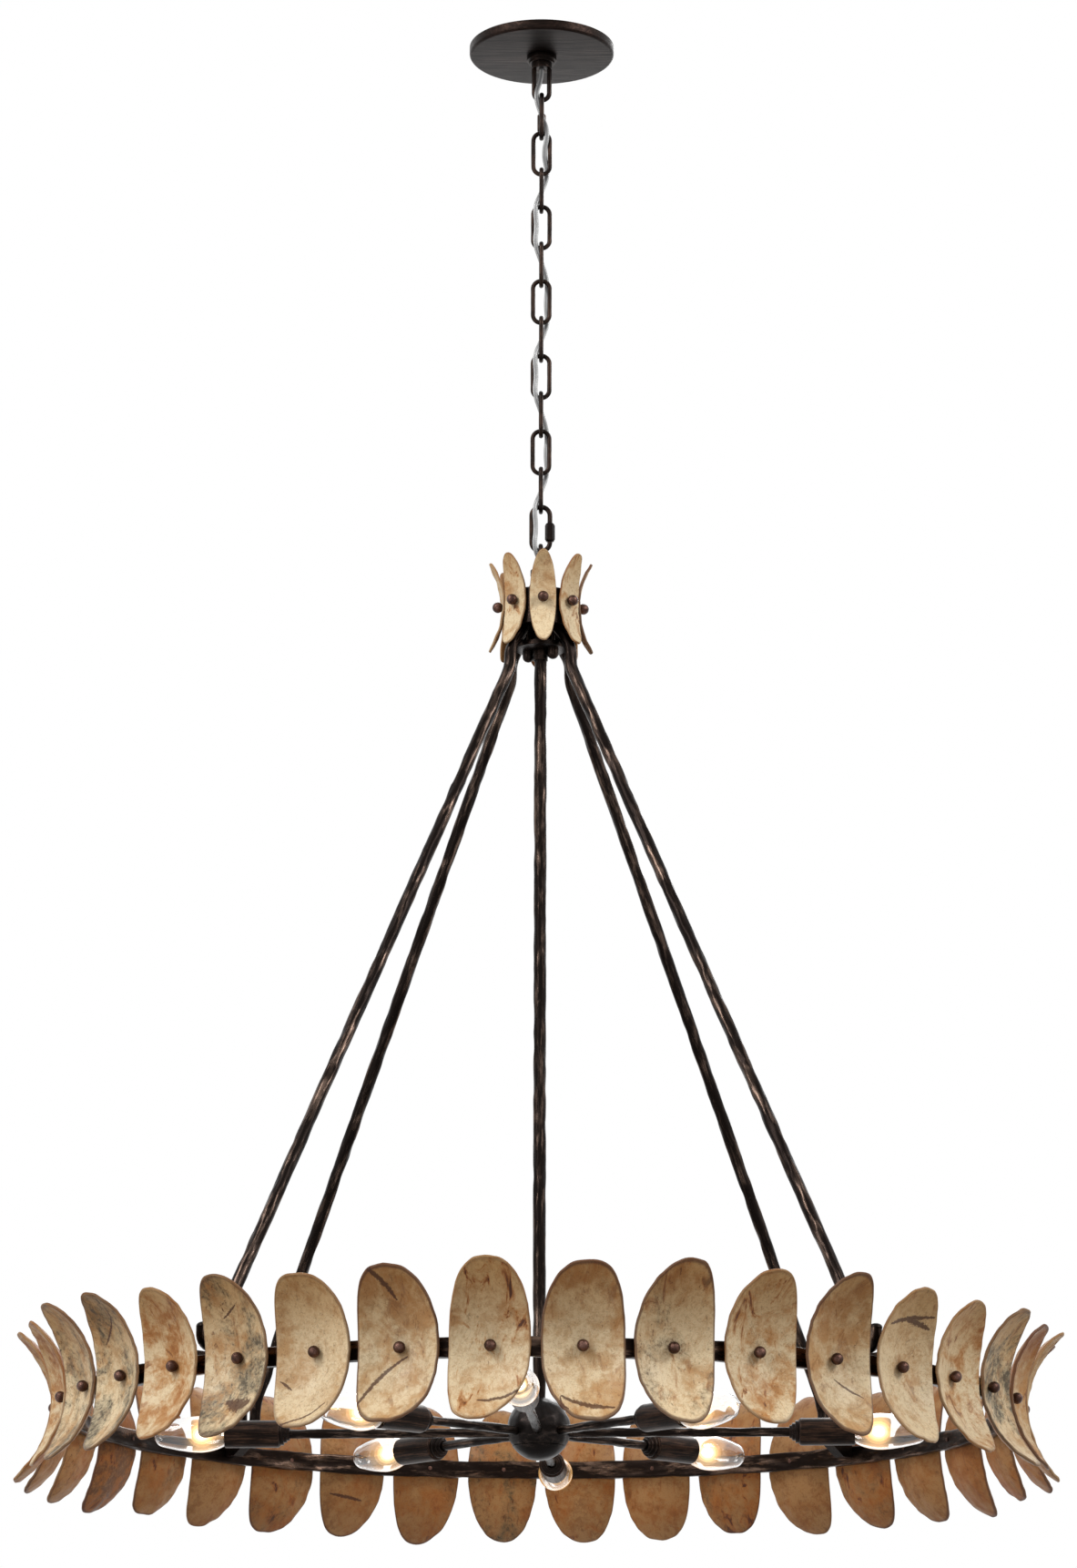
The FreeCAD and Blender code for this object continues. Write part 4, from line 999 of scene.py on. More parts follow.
@cache
def forged_hoop() -> FormTree:
    """The flat bar hoop, its edges eased and its skin hammered.

    Returns:
        The tree.
    """
    maker, start = form_tree("forged_hoop", {
        "Mean radius": 0.455, "Thickness": 0.0095, "Height": 0.019, "Edge radius": 0.0016, "Centre height": 0.0,
        "Dent size": 0.014, "Dent stretch": 2.4, "Dent depth": 0.0012, "Seed": 0.0, "Material": "Material"})
    circle = maker.add("GeometryNodeCurvePrimitiveCircle", {
        "Resolution": 960, "Radius": start["Mean radius"]}, mode="RADIUS")
    section = maker.add("GeometryNodeCurvePrimitiveQuadrilateral", {
        "Width": start["Thickness"], "Height": start["Height"]}, mode="RECTANGLE")
    soft = maker.add("GeometryNodeFilletCurve", {
        "Curve": section, "Count": 3, "Radius": start["Edge radius"], "Limit Radius": True},
                     mode="POLY")
    fine = maker.add("GeometryNodeResampleCurve", {"Curve": soft, "Count": 40}, mode="COUNT")
    swept = maker.add("GeometryNodeCurveToMesh", {"Curve": circle, "Profile Curve": fine})
    moved = maker.add("GeometryNodeSetPosition", {
        "Geometry": swept, "Offset": maker.together(z=start["Centre height"])})
    spun = maker.add("ShaderNodeVectorRotate", {
        "Vector": maker.add("GeometryNodeInputPosition"), "Angle": math.radians(-135.0)},
                     rotation_type="Z_AXIS")
    spot = maker.add("ShaderNodeSeparateXYZ", {0: spun}).outputs
    arc = maker.times(maker.maths("ARCTAN2", spot[1], spot[0]), start["Mean radius"])
    away = maker.maths("SQRT", maker.plus(maker.times(spot[0], spot[0]), maker.times(spot[1], spot[1])))
    size = start["Dent size"]
    place = maker.together(maker.maths("DIVIDE", arc, maker.times(size, start["Dent stretch"])),
                           maker.maths("DIVIDE", spot[2], size), maker.maths("DIVIDE", away, size))
    close_hammered(maker, moved.outputs[0], place, start)
    return maker.tree


@cache
def round_the_axis() -> FormTree:
    """Copies of one part at even steps round the lamp's axis.

    Returns:
        The tree.
    """
    maker, start = form_tree("round_the_axis", {"Count": 8, "First azimuth": 0.0, "Material": "Material"})
    line = maker.add("GeometryNodeMeshLine", {"Count": start["Count"], "Offset": (0.0, 0.0, 0.0)}, mode="OFFSET")
    turned = maker.times(maker.add("GeometryNodeInputIndex").outputs[0],
                         maker.maths("DIVIDE", FULL_TURN, start["Count"]))
    copies = maker.add("GeometryNodeInstanceOnPoints", {
        "Points": line, "Instance": start[0],
        "Rotation": maker.together(z=maker.plus(turned, start["First azimuth"]))})
    close(maker, copies.outputs[0], start)
    return maker.tree


def formed(source: Piece, tree: FormTree, name: str, values: dict[str, object]) -> Piece:
    """Run a tree on an object and keep the result as a plain mesh.

    Args:
        source: The object to start from. It is used up.
        tree: The geometry tree.
        name: The piece's name.
        values: A value for each named input.

    Returns:
        The piece, with no modifier.
    """
    modifier = source.modifiers.new("form", "NODES")
    modifier.node_group = tree
    sockets = {item.name: item.identifier for item in tree.interface.items_tree if item.in_out == "INPUT"}
    for label, value in values.items():
        modifier[sockets[label]] = value
    bpy.context.view_layer.update()
    graph = bpy.context.evaluated_depsgraph_get()
    mesh = bpy.data.meshes.new_from_object(source.evaluated_get(graph), preserve_all_data_layers=True, depsgraph=graph)
    source.modifiers.remove(modifier)
    bpy.data.objects.remove(source)
    mesh.name = name
    face_out(mesh)
    return linked(name, mesh)


def bar_along(name: str, spots: Sequence[Sequence[float]], diameter: float,
              material: Material, cyclic: bool = False, **more: float) -> Piece:
    """A bar along a line.

    Args:
        name: The piece's name.
        spots: The line's points.
        diameter: The bar's diameter.
        material: Its material.
        cyclic: Whether the line closes.
        **more: The tree's other inputs, their names written with underscores.

    Returns:
        The piece.
    """
    values = {label.replace("_", " ").capitalize(): value for label, value in more.items()}
    return formed(line_object(spots, cyclic), forged_bar(), name, {
        "Diameter": diameter, "Material": material, **values})


def settle(piece: Piece, body: str, slot: Slot, *nodes: str) -> Piece:
    """Give a finished piece its body and hide the solids it stands for.

    Args:
        piece: The piece.
        body: The body it rides on.
        slot: The record's material slot; not used.
        *nodes: The solids it replaces.

    Returns:
        The piece.
    """
    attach(piece, body)
    if nodes:
        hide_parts(*nodes)
    LOG.info("%s rides on %s, %d faces", piece.name, body, len(piece.data.polygons))
    return piece


def settle_ring(name: str, body: str, node: str, outline: Outline, material: Material, segments: int) -> None:
    """Turn a smooth part that is closed round its bore, and settle it."""
    settle(lathe(name, outline, material, segments, closed=True), body, Slot.SMOOTH, node)


@dataclass
class Studio:
    """The camera, the floor, the world and the lamps."""

    ring_z: float
    lens: float = 114.67
    camera_place: Point = (-0.0018, -4.835, -0.630)
    camera_pitch: float = 104.6165
    camera_roll: float = 0.12
    floor_z: float = -4.2
    floor_reach: float = 3.4

    def build(self) -> None:
        """Make the whole studio."""
        scene = bpy.context.scene
        scene.view_settings.view_transform = "Standard"
        data = bpy.data.cameras.new("photo_camera")
        data.lens, data.sensor_width, data.sensor_fit = self.lens, 36.0, "AUTO"
        data.clip_end = 60.0
        camera = linked("photo_camera", data)
        camera.location = (self.camera_place[0], self.camera_place[1], self.ring_z + self.camera_place[2])
        lean = Matrix.Rotation(math.radians(self.camera_pitch), 4, "X")
        camera.rotation_euler = (lean @ Matrix.Rotation(math.radians(self.camera_roll), 4, "Z")).to_euler()
        scene.camera = camera
        self.world(scene)
        self.floor()
        self.lamp("key_softbox", (-2.7, -2.3, 1.9), (0.0, 0.0, -1.4), 112.0, 1.9)
        self.lamp("fill_softbox", (3.1, -1.6, 1.1), (0.0, 0.0, -1.5), 84.0, 1.6)
        self.lamp("rim_softbox", (0.6, 3.0, 0.9), (0.0, 0.0, -1.2), 30.0, 1.8)
        self.lamp("streak_strip", (-2.3, -2.7, -0.5), (0.0, 0.0, -1.0), 26.0, 0.28, 2.6)

    def world(self, scene: bpy.types.Scene) -> None:
        """White where the camera sees it, also through glass or in metal, and plain soft light elsewhere.

        Args:
            scene: The scene.
        """
        world = bpy.data.worlds.new("white_studio")
        scene.world = world
        world.use_nodes = True
        world.node_tree.nodes.clear()
        maker = TreeMaker(world.node_tree)
        path = maker.add("ShaderNodeLightPath")
        seen = maker.maths("MAXIMUM", path.outputs["Is Camera Ray"], maker.maths(
            "MAXIMUM", path.outputs["Is Glossy Ray"], path.outputs["Is Transmission Ray"]))
        strength = maker.add("ShaderNodeMapRange", {"Value": seen, "To Min": 0.30, "To Max": 1.0}).outputs[0]
        light = maker.add("ShaderNodeBackground", {"Color": WHITE, "Strength": strength})
        maker.add("ShaderNodeOutputWorld", {0: light})

    def floor(self) -> None:
        """A plain pale floor that is clear from below."""
        reach = self.floor_reach
        floor = mesh_object("studio_floor", [(x * reach, y * reach, self.floor_z)
                                             for x, y in ((-1, -1), (1, -1), (1, 1), (-1, 1))], [(0, 1, 2, 3)])
        material, maker = TreeMaker.material("pale_floor")
        colour = maker.blend(maker.span(maker.clouds(maker.place(), 3.0), 0.3, 0.7), (0.86, 0.86, 0.86, 1.0),
                             (0.9, 0.9, 0.9, 1.0))
        shader = maker.add("ShaderNodeBsdfPrincipled", {"Base Color": colour, "Roughness": 0.8})
        clear = maker.add("ShaderNodeBsdfTransparent")
        back = maker.add("ShaderNodeNewGeometry").outputs["Backfacing"]
        both = maker.add("ShaderNodeMixShader", {0: back, 1: shader, 2: clear})
        maker.add("ShaderNodeOutputMaterial", {0: both})
        floor.data.materials.append(material)
        if floor.data.polygons[0].normal.z < 0:
            floor.data.flip_normals()

    def lamp(self, name: str, place: Point, aim: Point, power: float, size: float, tall: float = 0.0) -> None:
        """Add one softbox.

        Args:
            name: Its name.
            place: Where it stands.
            aim: The point it faces.
            power: Its power in watts.
            size: Its width.
            tall: Its height, or 0 where it is square.
        """
        data = bpy.data.lights.new(name, "AREA")
        data.shape = "RECTANGLE"
        data.energy, data.size, data.size_y = power, size, tall or size
        lamp = linked(name, data)
        lamp.location = place
        lamp.rotation_euler = (Vector(aim) - Vector(place)).to_track_quat("-Z", "Y").to_euler()
        lamp.visible_camera = False


@dataclass
class LampCord:
    """The flat cord, woven to and fro through the chain's edge-on links."""

    finishes: Finishes
    width: float = 0.005
    thickness: float = 0.0028
    side: float = 0.007
    beside: tuple[float, float] = (0.0046, 0.0042)
    in_hole: float = 0.0018
    crossing: float = 0.001
    start_z: float = -0.0205
    end_z: float = -0.57275
    heights: tuple[float, ...] = (-0.05615, -0.097925, -0.13845, -0.17905, -0.21965, -0.26025, -0.30085, -0.34145,
                                  -0.38205, -0.42265, -0.46325, -0.503775, -0.54555)
    signs: tuple[tuple[int, int], ...] = ((-1, -1), (1, -1), (1, 1), (-1, -1), (-1, -1), (1, 1), (1, 1), (-1, -1),
                                          (-1, -1), (1, 1), (1, 1), (-1, -1), (-1, -1))
    hinges: tuple[float, ...] = (-0.0588, -0.1005, *(-0.14095 - 0.0406 * k for k in range(LINKS)), -0.5430)
    bodies: tuple[str, ...] = ("ceiling_mount", "upper_link", *(f"link_{k + 1:02d}" for k in range(LINKS)),
                               "lower_link", "light_frame")
    section_points: int = 20
    valley_width: float = 0.0007
    valley_depth: float = 0.0005
    tail_share: float = 0.85

    def route(self) -> list[Point]:
        """The cord's control points, from the canopy loop's base into the crown.

        Returns:
            The points.
        """
        points = [(0.0, 0.0, self.start_z), (0.0, 0.0, self.start_z - 0.014)]
        for index, (sign, height) in enumerate(zip(self.signs, self.heights)):
            if index:
                last = self.signs[index - 1]
                middle = (self.heights[index - 1] + height) / 2
                if last == sign:
                    points.append((sign[0] * self.beside[0], sign[1] * self.beside[1], middle))
                elif last[0] != sign[0] and last[1] != sign[1]:
                    points.append((self.crossing, -self.crossing, middle))
                else:
                    points.append(((last[0] + sign[0]) / 2 * self.in_hole, (last[1] + sign[1]) / 2 * self.in_hole,
                                   middle))
            points.append((sign[0] * self.side, sign[1] * self.side, height))
        return points + [(0.0, 0.0, self.end_z + 0.012), (0.0, 0.0, self.end_z)]

    def centre_line(self) -> list[Vector]:
        """Points read from the route's one smooth spline.

        Returns:
            The points along the spline.
        """
        points = self.route()
        curve = bpy.data.curves.new("cord_line", "CURVE")
        curve.dimensions = "3D"
        spline = curve.splines.new("NURBS")
        spline.points.add(len(points) - 1)
        for point, place in zip(spline.points, points):
            point.co = (*place, 1.0)
        spline.order_u = 3
        spline.use_endpoint_u = True
        spline.resolution_u = 10
        line = linked("cord_line", curve)
        bpy.context.view_layer.update()
        graph = bpy.context.evaluated_depsgraph_get()
        mesh = bpy.data.meshes.new_from_object(line.evaluated_get(graph))
        spots = [v.co.copy() for v in mesh.vertices]
        bpy.data.objects.remove(line)
        return spots

    def section(self) -> list[Point]:
        """The twin-core outline.

        Returns:
            Across, through, and how deep in the valley between the cores, for each point.
        """
        out = []
        for angle in ring_of(self.section_points):
            across = self.width / 2 * math.copysign(abs(math.cos(angle)) ** 0.85, math.cos(angle))
            valley = math.exp(-(across / self.valley_width) ** 2)
            through = (self.thickness / 2 - self.valley_depth * valley) * math.sin(angle)
            out.append((across, through, valley if abs(math.sin(angle)) > 0.6 else 0.0))
        return out

    def build(self) -> None:
        """Make the fourteen stretches, cut at the chain's hinges, each going with one link."""
        spots = self.centre_line()
        tangents = [(b - a).normalized() for a, b in zip(spots, spots[1:])]
        tangents.append(tangents[-1])
        across = Vector((1.0, 0.0, 0.0))
        frames, run = [], 0.0
        for index, (spot, tangent) in enumerate(zip(spots, tangents)):
            across = (across - tangent * across.dot(tangent)).normalized()
            run += (spot - spots[index - 1]).length if index else 0.0
            frames.append((spot, across.copy(), tangent.cross(across), run))
        cuts = [0] + [min(range(len(spots)), key=lambda k, z=hinge: abs(spots[k].z - z)) for hinge in self.hinges]
        cuts.append(len(spots) - 1)
        for index, (first, last) in enumerate(zip(cuts, cuts[1:])):
            tucked = min(last + 1, len(spots) - 1)
            piece = self.stretch(f"lamp_cord_{index + 1:02d}", frames[first:tucked + 1], tucked > last)
            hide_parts("lamp_cord")
            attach(piece, self.bodies[index])
            path = [tuple(frame[0]) for frame in frames[first:last + 1]]
            length = sum((Vector(b) - Vector(a)).length for a, b in zip(path, path[1:]))
            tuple(path[0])
            LOG.info("%s goes with %s, %.1f mm", piece.name, self.bodies[index], length * 1000)

    def stretch(self, name: str, frames: Sequence[tuple[Vector, Vector, Vector, float]], tucked: bool) -> Piece:
        """Sweep the flat section along one stretch.

        Args:
            name: The piece's name.
            frames: The centre, the two directions of the section and the run at each step.
            tucked: Whether the last step is a thinner tail inside the next stretch.

        Returns:
            The piece, closed at both ends.
        """
        section = self.section()
        points, lays, valleys = [], [], []
        for row, (spot, across, through, run) in enumerate(frames):
            share = self.tail_share if tucked and row == len(frames) - 1 else 1.0
            for x, y, valley in section:
                points.append(spot + (across * x + through * y) * share)
                lays += [x, run, y]
                valleys.append(valley)
        piece = mesh_object(name, points, tube(len(frames), len(section)), self.finishes.cord, 60.0)
        carry(piece, "lay", lays)
        carry(piece, "valley", valleys)
        return piece


@dataclass
class CeilingCanopy:
    """The pan against the ceiling, its screw collar and the loop that the chain hangs from."""

    finishes: Finishes
    pan_radius: float = 0.075
    pan_bottom: float = -0.0105
    wall: float = 0.0012
    hole: float = 0.012
    loop_wire: float = 0.005
    loop_half_width: float = 0.00785
    loop_z: float = -0.0588

    def build(self) -> None:
        """Make and dress each piece."""
        self.pan()
        self.collar()
        self.loop()

    def pan(self) -> None:
        """The shallow pan with its rolled edge."""
        r, z, w, roll, inner = self.pan_radius, self.pan_bottom, self.wall, 0.003, 0.0018
        outline = [(self.hole, z + w), (self.hole, z), (r - roll, z)]
        outline += [(r - roll + roll * math.sin(a), z + roll - roll * math.cos(a)) for a in sweep(15, 1, 7)]
        outline += [(r, -0.0005), (r - w, -0.0005), (r - w, z + roll)]
        outline += [(r - w - inner + inner * math.cos(a), z + roll - inner * math.sin(a)) for a in sweep(30, 1, 4)]
        settle_ring("canopy_dish", "canopy_cover", "canopy_pan", outline, self.finishes.canopy, 160)

    def collar(self) -> None:
        """The stepped collar under the pan."""
        z, bore = self.pan_bottom, 0.01065
        outline = [(bore, z), (0.0155, z), (0.0155, z - 0.005), (0.0132, z - 0.005), (0.0132, z - 0.008),
                   (bore, z - 0.008)]
        settle_ring("canopy_screw_collar", "canopy_cover", "screw_collar", eased(outline, 0.0006),
                    self.finishes.smooth, 96)

    def loop(self) -> None:
        """The base and the wire loop, open in the plane that faces the camera."""
        top, bottom = -0.00805, -0.0245
        outline = [(0.0051, top), (0.0105, top), (0.0105, bottom), (0.0028, bottom), (0.0028, bottom + 0.004)]
        base = lathe("loop_base", eased(outline, 0.0011), self.finishes.smooth, 64)
        half = self.loop_half_width
        bend = [(half * math.cos(a), 0.0, self.loop_z + half - half * math.sin(a)) for a in sweep(9, 0, 21)]
        line = [(half, 0.0, bottom + 0.0025)] + bend + [(-half, 0.0, bottom + 0.0025)]
        wire = bar_along("loop_wire", line, self.loop_wire, self.finishes.smooth, step=0.0012, sides=20)
        piece = joined("canopy_hanging_loop", [base, wire])
        settle(piece, "ceiling_mount", Slot.SMOOTH, "canopy_loop")


@dataclass
class Chain:
    """The two quick links and the ten welded links between them."""

    finishes: Finishes
    wire: float = 0.0047
    width: float = 0.0216
    length: float = 0.0503
    pitch: float = 0.0406
    first_top: float = -0.09535
    quick_wire: float = 0.005
    quick_width: float = 0.0235
    sleeve_sides: int = 48

    def build(self) -> None:
        """Make and dress each piece."""
        for index in range(LINKS):
            top = self.first_top - self.pitch * index
            line = self.stadium(self.width - self.wire, top, top - self.length + self.wire)
            piece = bar_along(f"welded_link_{index + 1:02d}", line, self.wire, self.finishes.smooth, cyclic=True,
                              step=0.0014, sides=20, dent_depth=0.00012, seed=index * 7.3, dent_length=0.012)
            placed(piece, about_axis(90.0 * (index % 2)))
            settle(piece, f"link_{index + 1:02d}", Slot.SMOOTH, f"chain_link_{index + 1:02d}")
        ends = (("upper", -0.0535, -0.1005, 90.0), ("lower", -0.5012, -0.5482, 0.0))
        for end, top, bottom, azimuth in ends:
            self.quick_link(end, top, bottom, azimuth)
        for end, _, bottom, azimuth in ends:
            self.sleeve(end, bottom, azimuth)

    @staticmethod
    def stadium(width: float, top: float, bottom: float, gap: tuple[float, float] | None = None) -> list[Point]:
        """A link's centre line in the XZ plane, from its right leg over the top.

        Args:
            width: The distance between the legs' centre lines.
            top: The upper wire's height.
            bottom: The lower wire's height.
            gap: The heights between which the right leg is open.

        Returns:
            The line's points.
        """
        half = width / 2
        high, low = top - half, bottom + half
        over = [(half * math.cos(a), 0.0, high + half * math.sin(a)) for a in sweep(9, 0, 21)]
        under = [(-half * math.cos(a), 0.0, low - half * math.sin(a)) for a in sweep(9, 0, 21)]
        if gap is None:
            return over + under
        return [(half, 0.0, gap[1])] + over + under + [(half, 0.0, gap[0])]

    def quick_link(self, end: str, top: float, bottom: float, azimuth: float) -> None:
        """Make one quick link's bent bar.

        Args:
            end: Whether it is the upper or the lower one.
            top: Its upper wire's height.
            bottom: Its lower wire's height.
            azimuth: How far it is turned, in degrees.
        """
        low = bottom + (self.quick_width - self.quick_wire) / 2 + 0.002
        line = self.stadium(self.quick_width - self.quick_wire, top, bottom, (low, low + 0.0075))
        piece = bar_along(f"{end}_quick_link_bar", line, self.quick_wire, self.finishes.smooth, step=0.0013, sides=22)
        settle(placed(piece, about_axis(azimuth)), f"{end}_link", Slot.SMOOTH, f"{end}_quick_link")

    def sleeve(self, end: str, bottom: float, azimuth: float) -> None:
        """Make one hexagonal screw sleeve with its ends chamfered.

        Args:
            end: Whether it is on the upper or the lower quick link.
            bottom: The quick link's lower wire's height.
            azimuth: How far the link is turned, in degrees.
        """
        leg, sixth = (self.quick_width - self.quick_wire) / 2, math.pi / 6
        low = bottom + leg + 0.001
        high, flat, bore = low + 0.019, 0.0044, 0.0026
        corner = flat / math.cos(sixth)
        chamfer = ((0.0, 0.0013), (0.0008, 0.00075), (0.0017, 0.00025), (0.0024, 0.0))
        levels = [(low + rise, corner - less) for rise, less in chamfer]
        levels += [(high - rise, corner - less) for rise, less in chamfer[::-1]]
        round_it, points = ring_of(self.sleeve_sides), []
        for height, reach in levels:
            for angle in round_it:
                off = (angle + sixth) % (2 * sixth) - sixth
                radius = min(reach, flat / math.cos(sixth - abs(off)))
                points.append((radius * math.cos(angle), radius * math.sin(angle), height))
        for height in (high, low):
            points += [(bore * math.cos(angle), bore * math.sin(angle), height) for angle in round_it]
        faces = tube(len(levels) + 2, self.sleeve_sides, ring=True)
        piece = mesh_object(f"{end}_screw_sleeve", points, faces, self.finishes.smooth, 20.0)
        placed(piece, about_axis(azimuth) @ Matrix.Translation((leg, 0.0, 0.0)))
        settle(piece, f"{end}_sleeve", Slot.SMOOTH, f"{end}_link_sleeve")


@dataclass
class ShellCut:
    """One size of cut shell: a piece of a hollow ball with an egg-shaped outline."""

    height: float
    width: float
    upper_share: float
    curve: float
    thickness: float
    seat: float
    centre_z: float
    rings: int = 15
    spokes: int = 96
    blunt: float = 2.0
    lean: tuple[float, float] = (0.0, 0.0)
    trim: tuple[float, float] = (0.0, 0.0)

    def grid(self, seed: int, wobble: float) -> tuple[list[Vector], list[tuple[int, ...]], dict[str, list[float]]]:
        """The shell's points and faces on the -Y side, and what each point carries.

        Args:
            seed: Which shell it is, for its own small waves.
            wobble: How far its outline and surface wander, as a share.

        Returns:
            The points, the faces, and the values by attribute name.
        """
        rows = self.rows()
        chance = random.Random(seed * 101 + 7)
        waves = [(chance.uniform(0, 6.3), chance.uniform(0.3, 1.0)) for _ in range(3)]
        offset = Vector((chance.uniform(-9, 9), chance.uniform(-9, 9), chance.uniform(-9, 9)))
        across, up, down = self.width / 2, self.height * self.upper_share, self.height * (1 - self.upper_share)
        ball = self.curve + self.thickness / 2
        centre = Vector((0.0, -(self.seat + self.thickness + self.curve), self.centre_z))
        points: list[Vector] = []
        carried: dict[str, list[float]] = {name: [] for name in (
            "figure", "own", "back", "rim", "under_rivet", "aloft")}
        for share, depth, back in rows:
            for angle in ring_of(self.spokes):
                ragged = sum(w * math.sin((n + 2) * angle + p) for n, (p, w) in enumerate(waves)) / 3
                turned = (angle - math.radians(self.trim[0]) + math.pi) % FULL_TURN - math.pi
                cut = self.trim[1] * math.exp(-(turned / 0.55) ** 2)
                reach = share * (1 - cut + wobble * (ragged - 0.6) * min(1.0, share * 1.5))
                wide, high = (math.copysign(abs(f(angle)) ** (2 / self.blunt), f(angle)) * reach
                              for f in (math.cos, math.sin))
                side = across * wide + self.lean[0 if high > 0 else 1] * high * high
                rise = (up if high > 0 else down) * high
                way = Vector((side, math.sqrt(ball ** 2 - side ** 2 - rise ** 2), rise)) / ball
                swell = noise.noise(way * 9.0 + offset) * 0.0011 * max(0.0, min(1.0, (share - 0.25) * 1.6))
                points.append(centre + way * (self.curve + depth + swell))
                carried["figure"] += [side * 1.2 + offset.x, back * 0.04 + offset.y, rise * 1.2 + offset.z]
                carried["own"] += [way.x * self.curve, way.z * self.curve, 0.0]
                carried["back"].append(back)
                # The height above the rivet, by which the material paints shade on the upper front face.
                carried["aloft"].append(rise)
                carried["rim"].append(max(0.0, min(1.0, (share - 0.93) / 0.06)))
                carried["under_rivet"].append(max(0.0, 1.0 - share * self.height / 0.020) * (1 - back))
            if share < 1e-6:
                del points[-self.spokes + 1:]
                for name, values in carried.items():
                    size = 3 if name in ("figure", "own") else 1
                    del values[-(self.spokes - 1) * size:]
        return points, self.faces([share for share, _, _ in rows]), carried

    def rows(self) -> list[tuple[float, float, float]]:
        """The shell's rows of points, from the middle to the rim and behind it to the middle.

        Returns:
            Each row's share of the way to the rim, its depth in the wall, and 1 on the back.
        """
        t = self.thickness
        rows = [(k / self.rings * 0.985, 0.0, 0.0) for k in range(self.rings + 1)]
        rows += [(0.996, 0.08 * t, 0.1), (1.0, 0.3 * t, 0.3), (1.0, 0.7 * t, 0.7), (0.996, 0.92 * t, 0.9)]
        return rows + [(k / self.rings * 0.985, t, 1.0) for k in range(self.rings, -1, -1)]

    def faces(self, shares: Sequence[float]) -> list[tuple[int, ...]]:
        """Join the rows, closing each middle with a fan.

        Args:
            shares: Each row's share of the way to the rim.

        Returns:
            The faces.
        """
        rows, count = [], 0
        for share in shares:
            size = 1 if share < 1e-6 else self.spokes
            rows.append([count] * self.spokes if size == 1 else list(range(count, count + size)))
            count += size
        return between(zip(rows, rows[1:]))


@dataclass(frozen=True)
class Growth:
    """A dark growth line on a shell, in metres across and up from its rivet, and how far it bows."""

    start: tuple[float, float]
    end: tuple[float, float]
    bow: float
    width: float


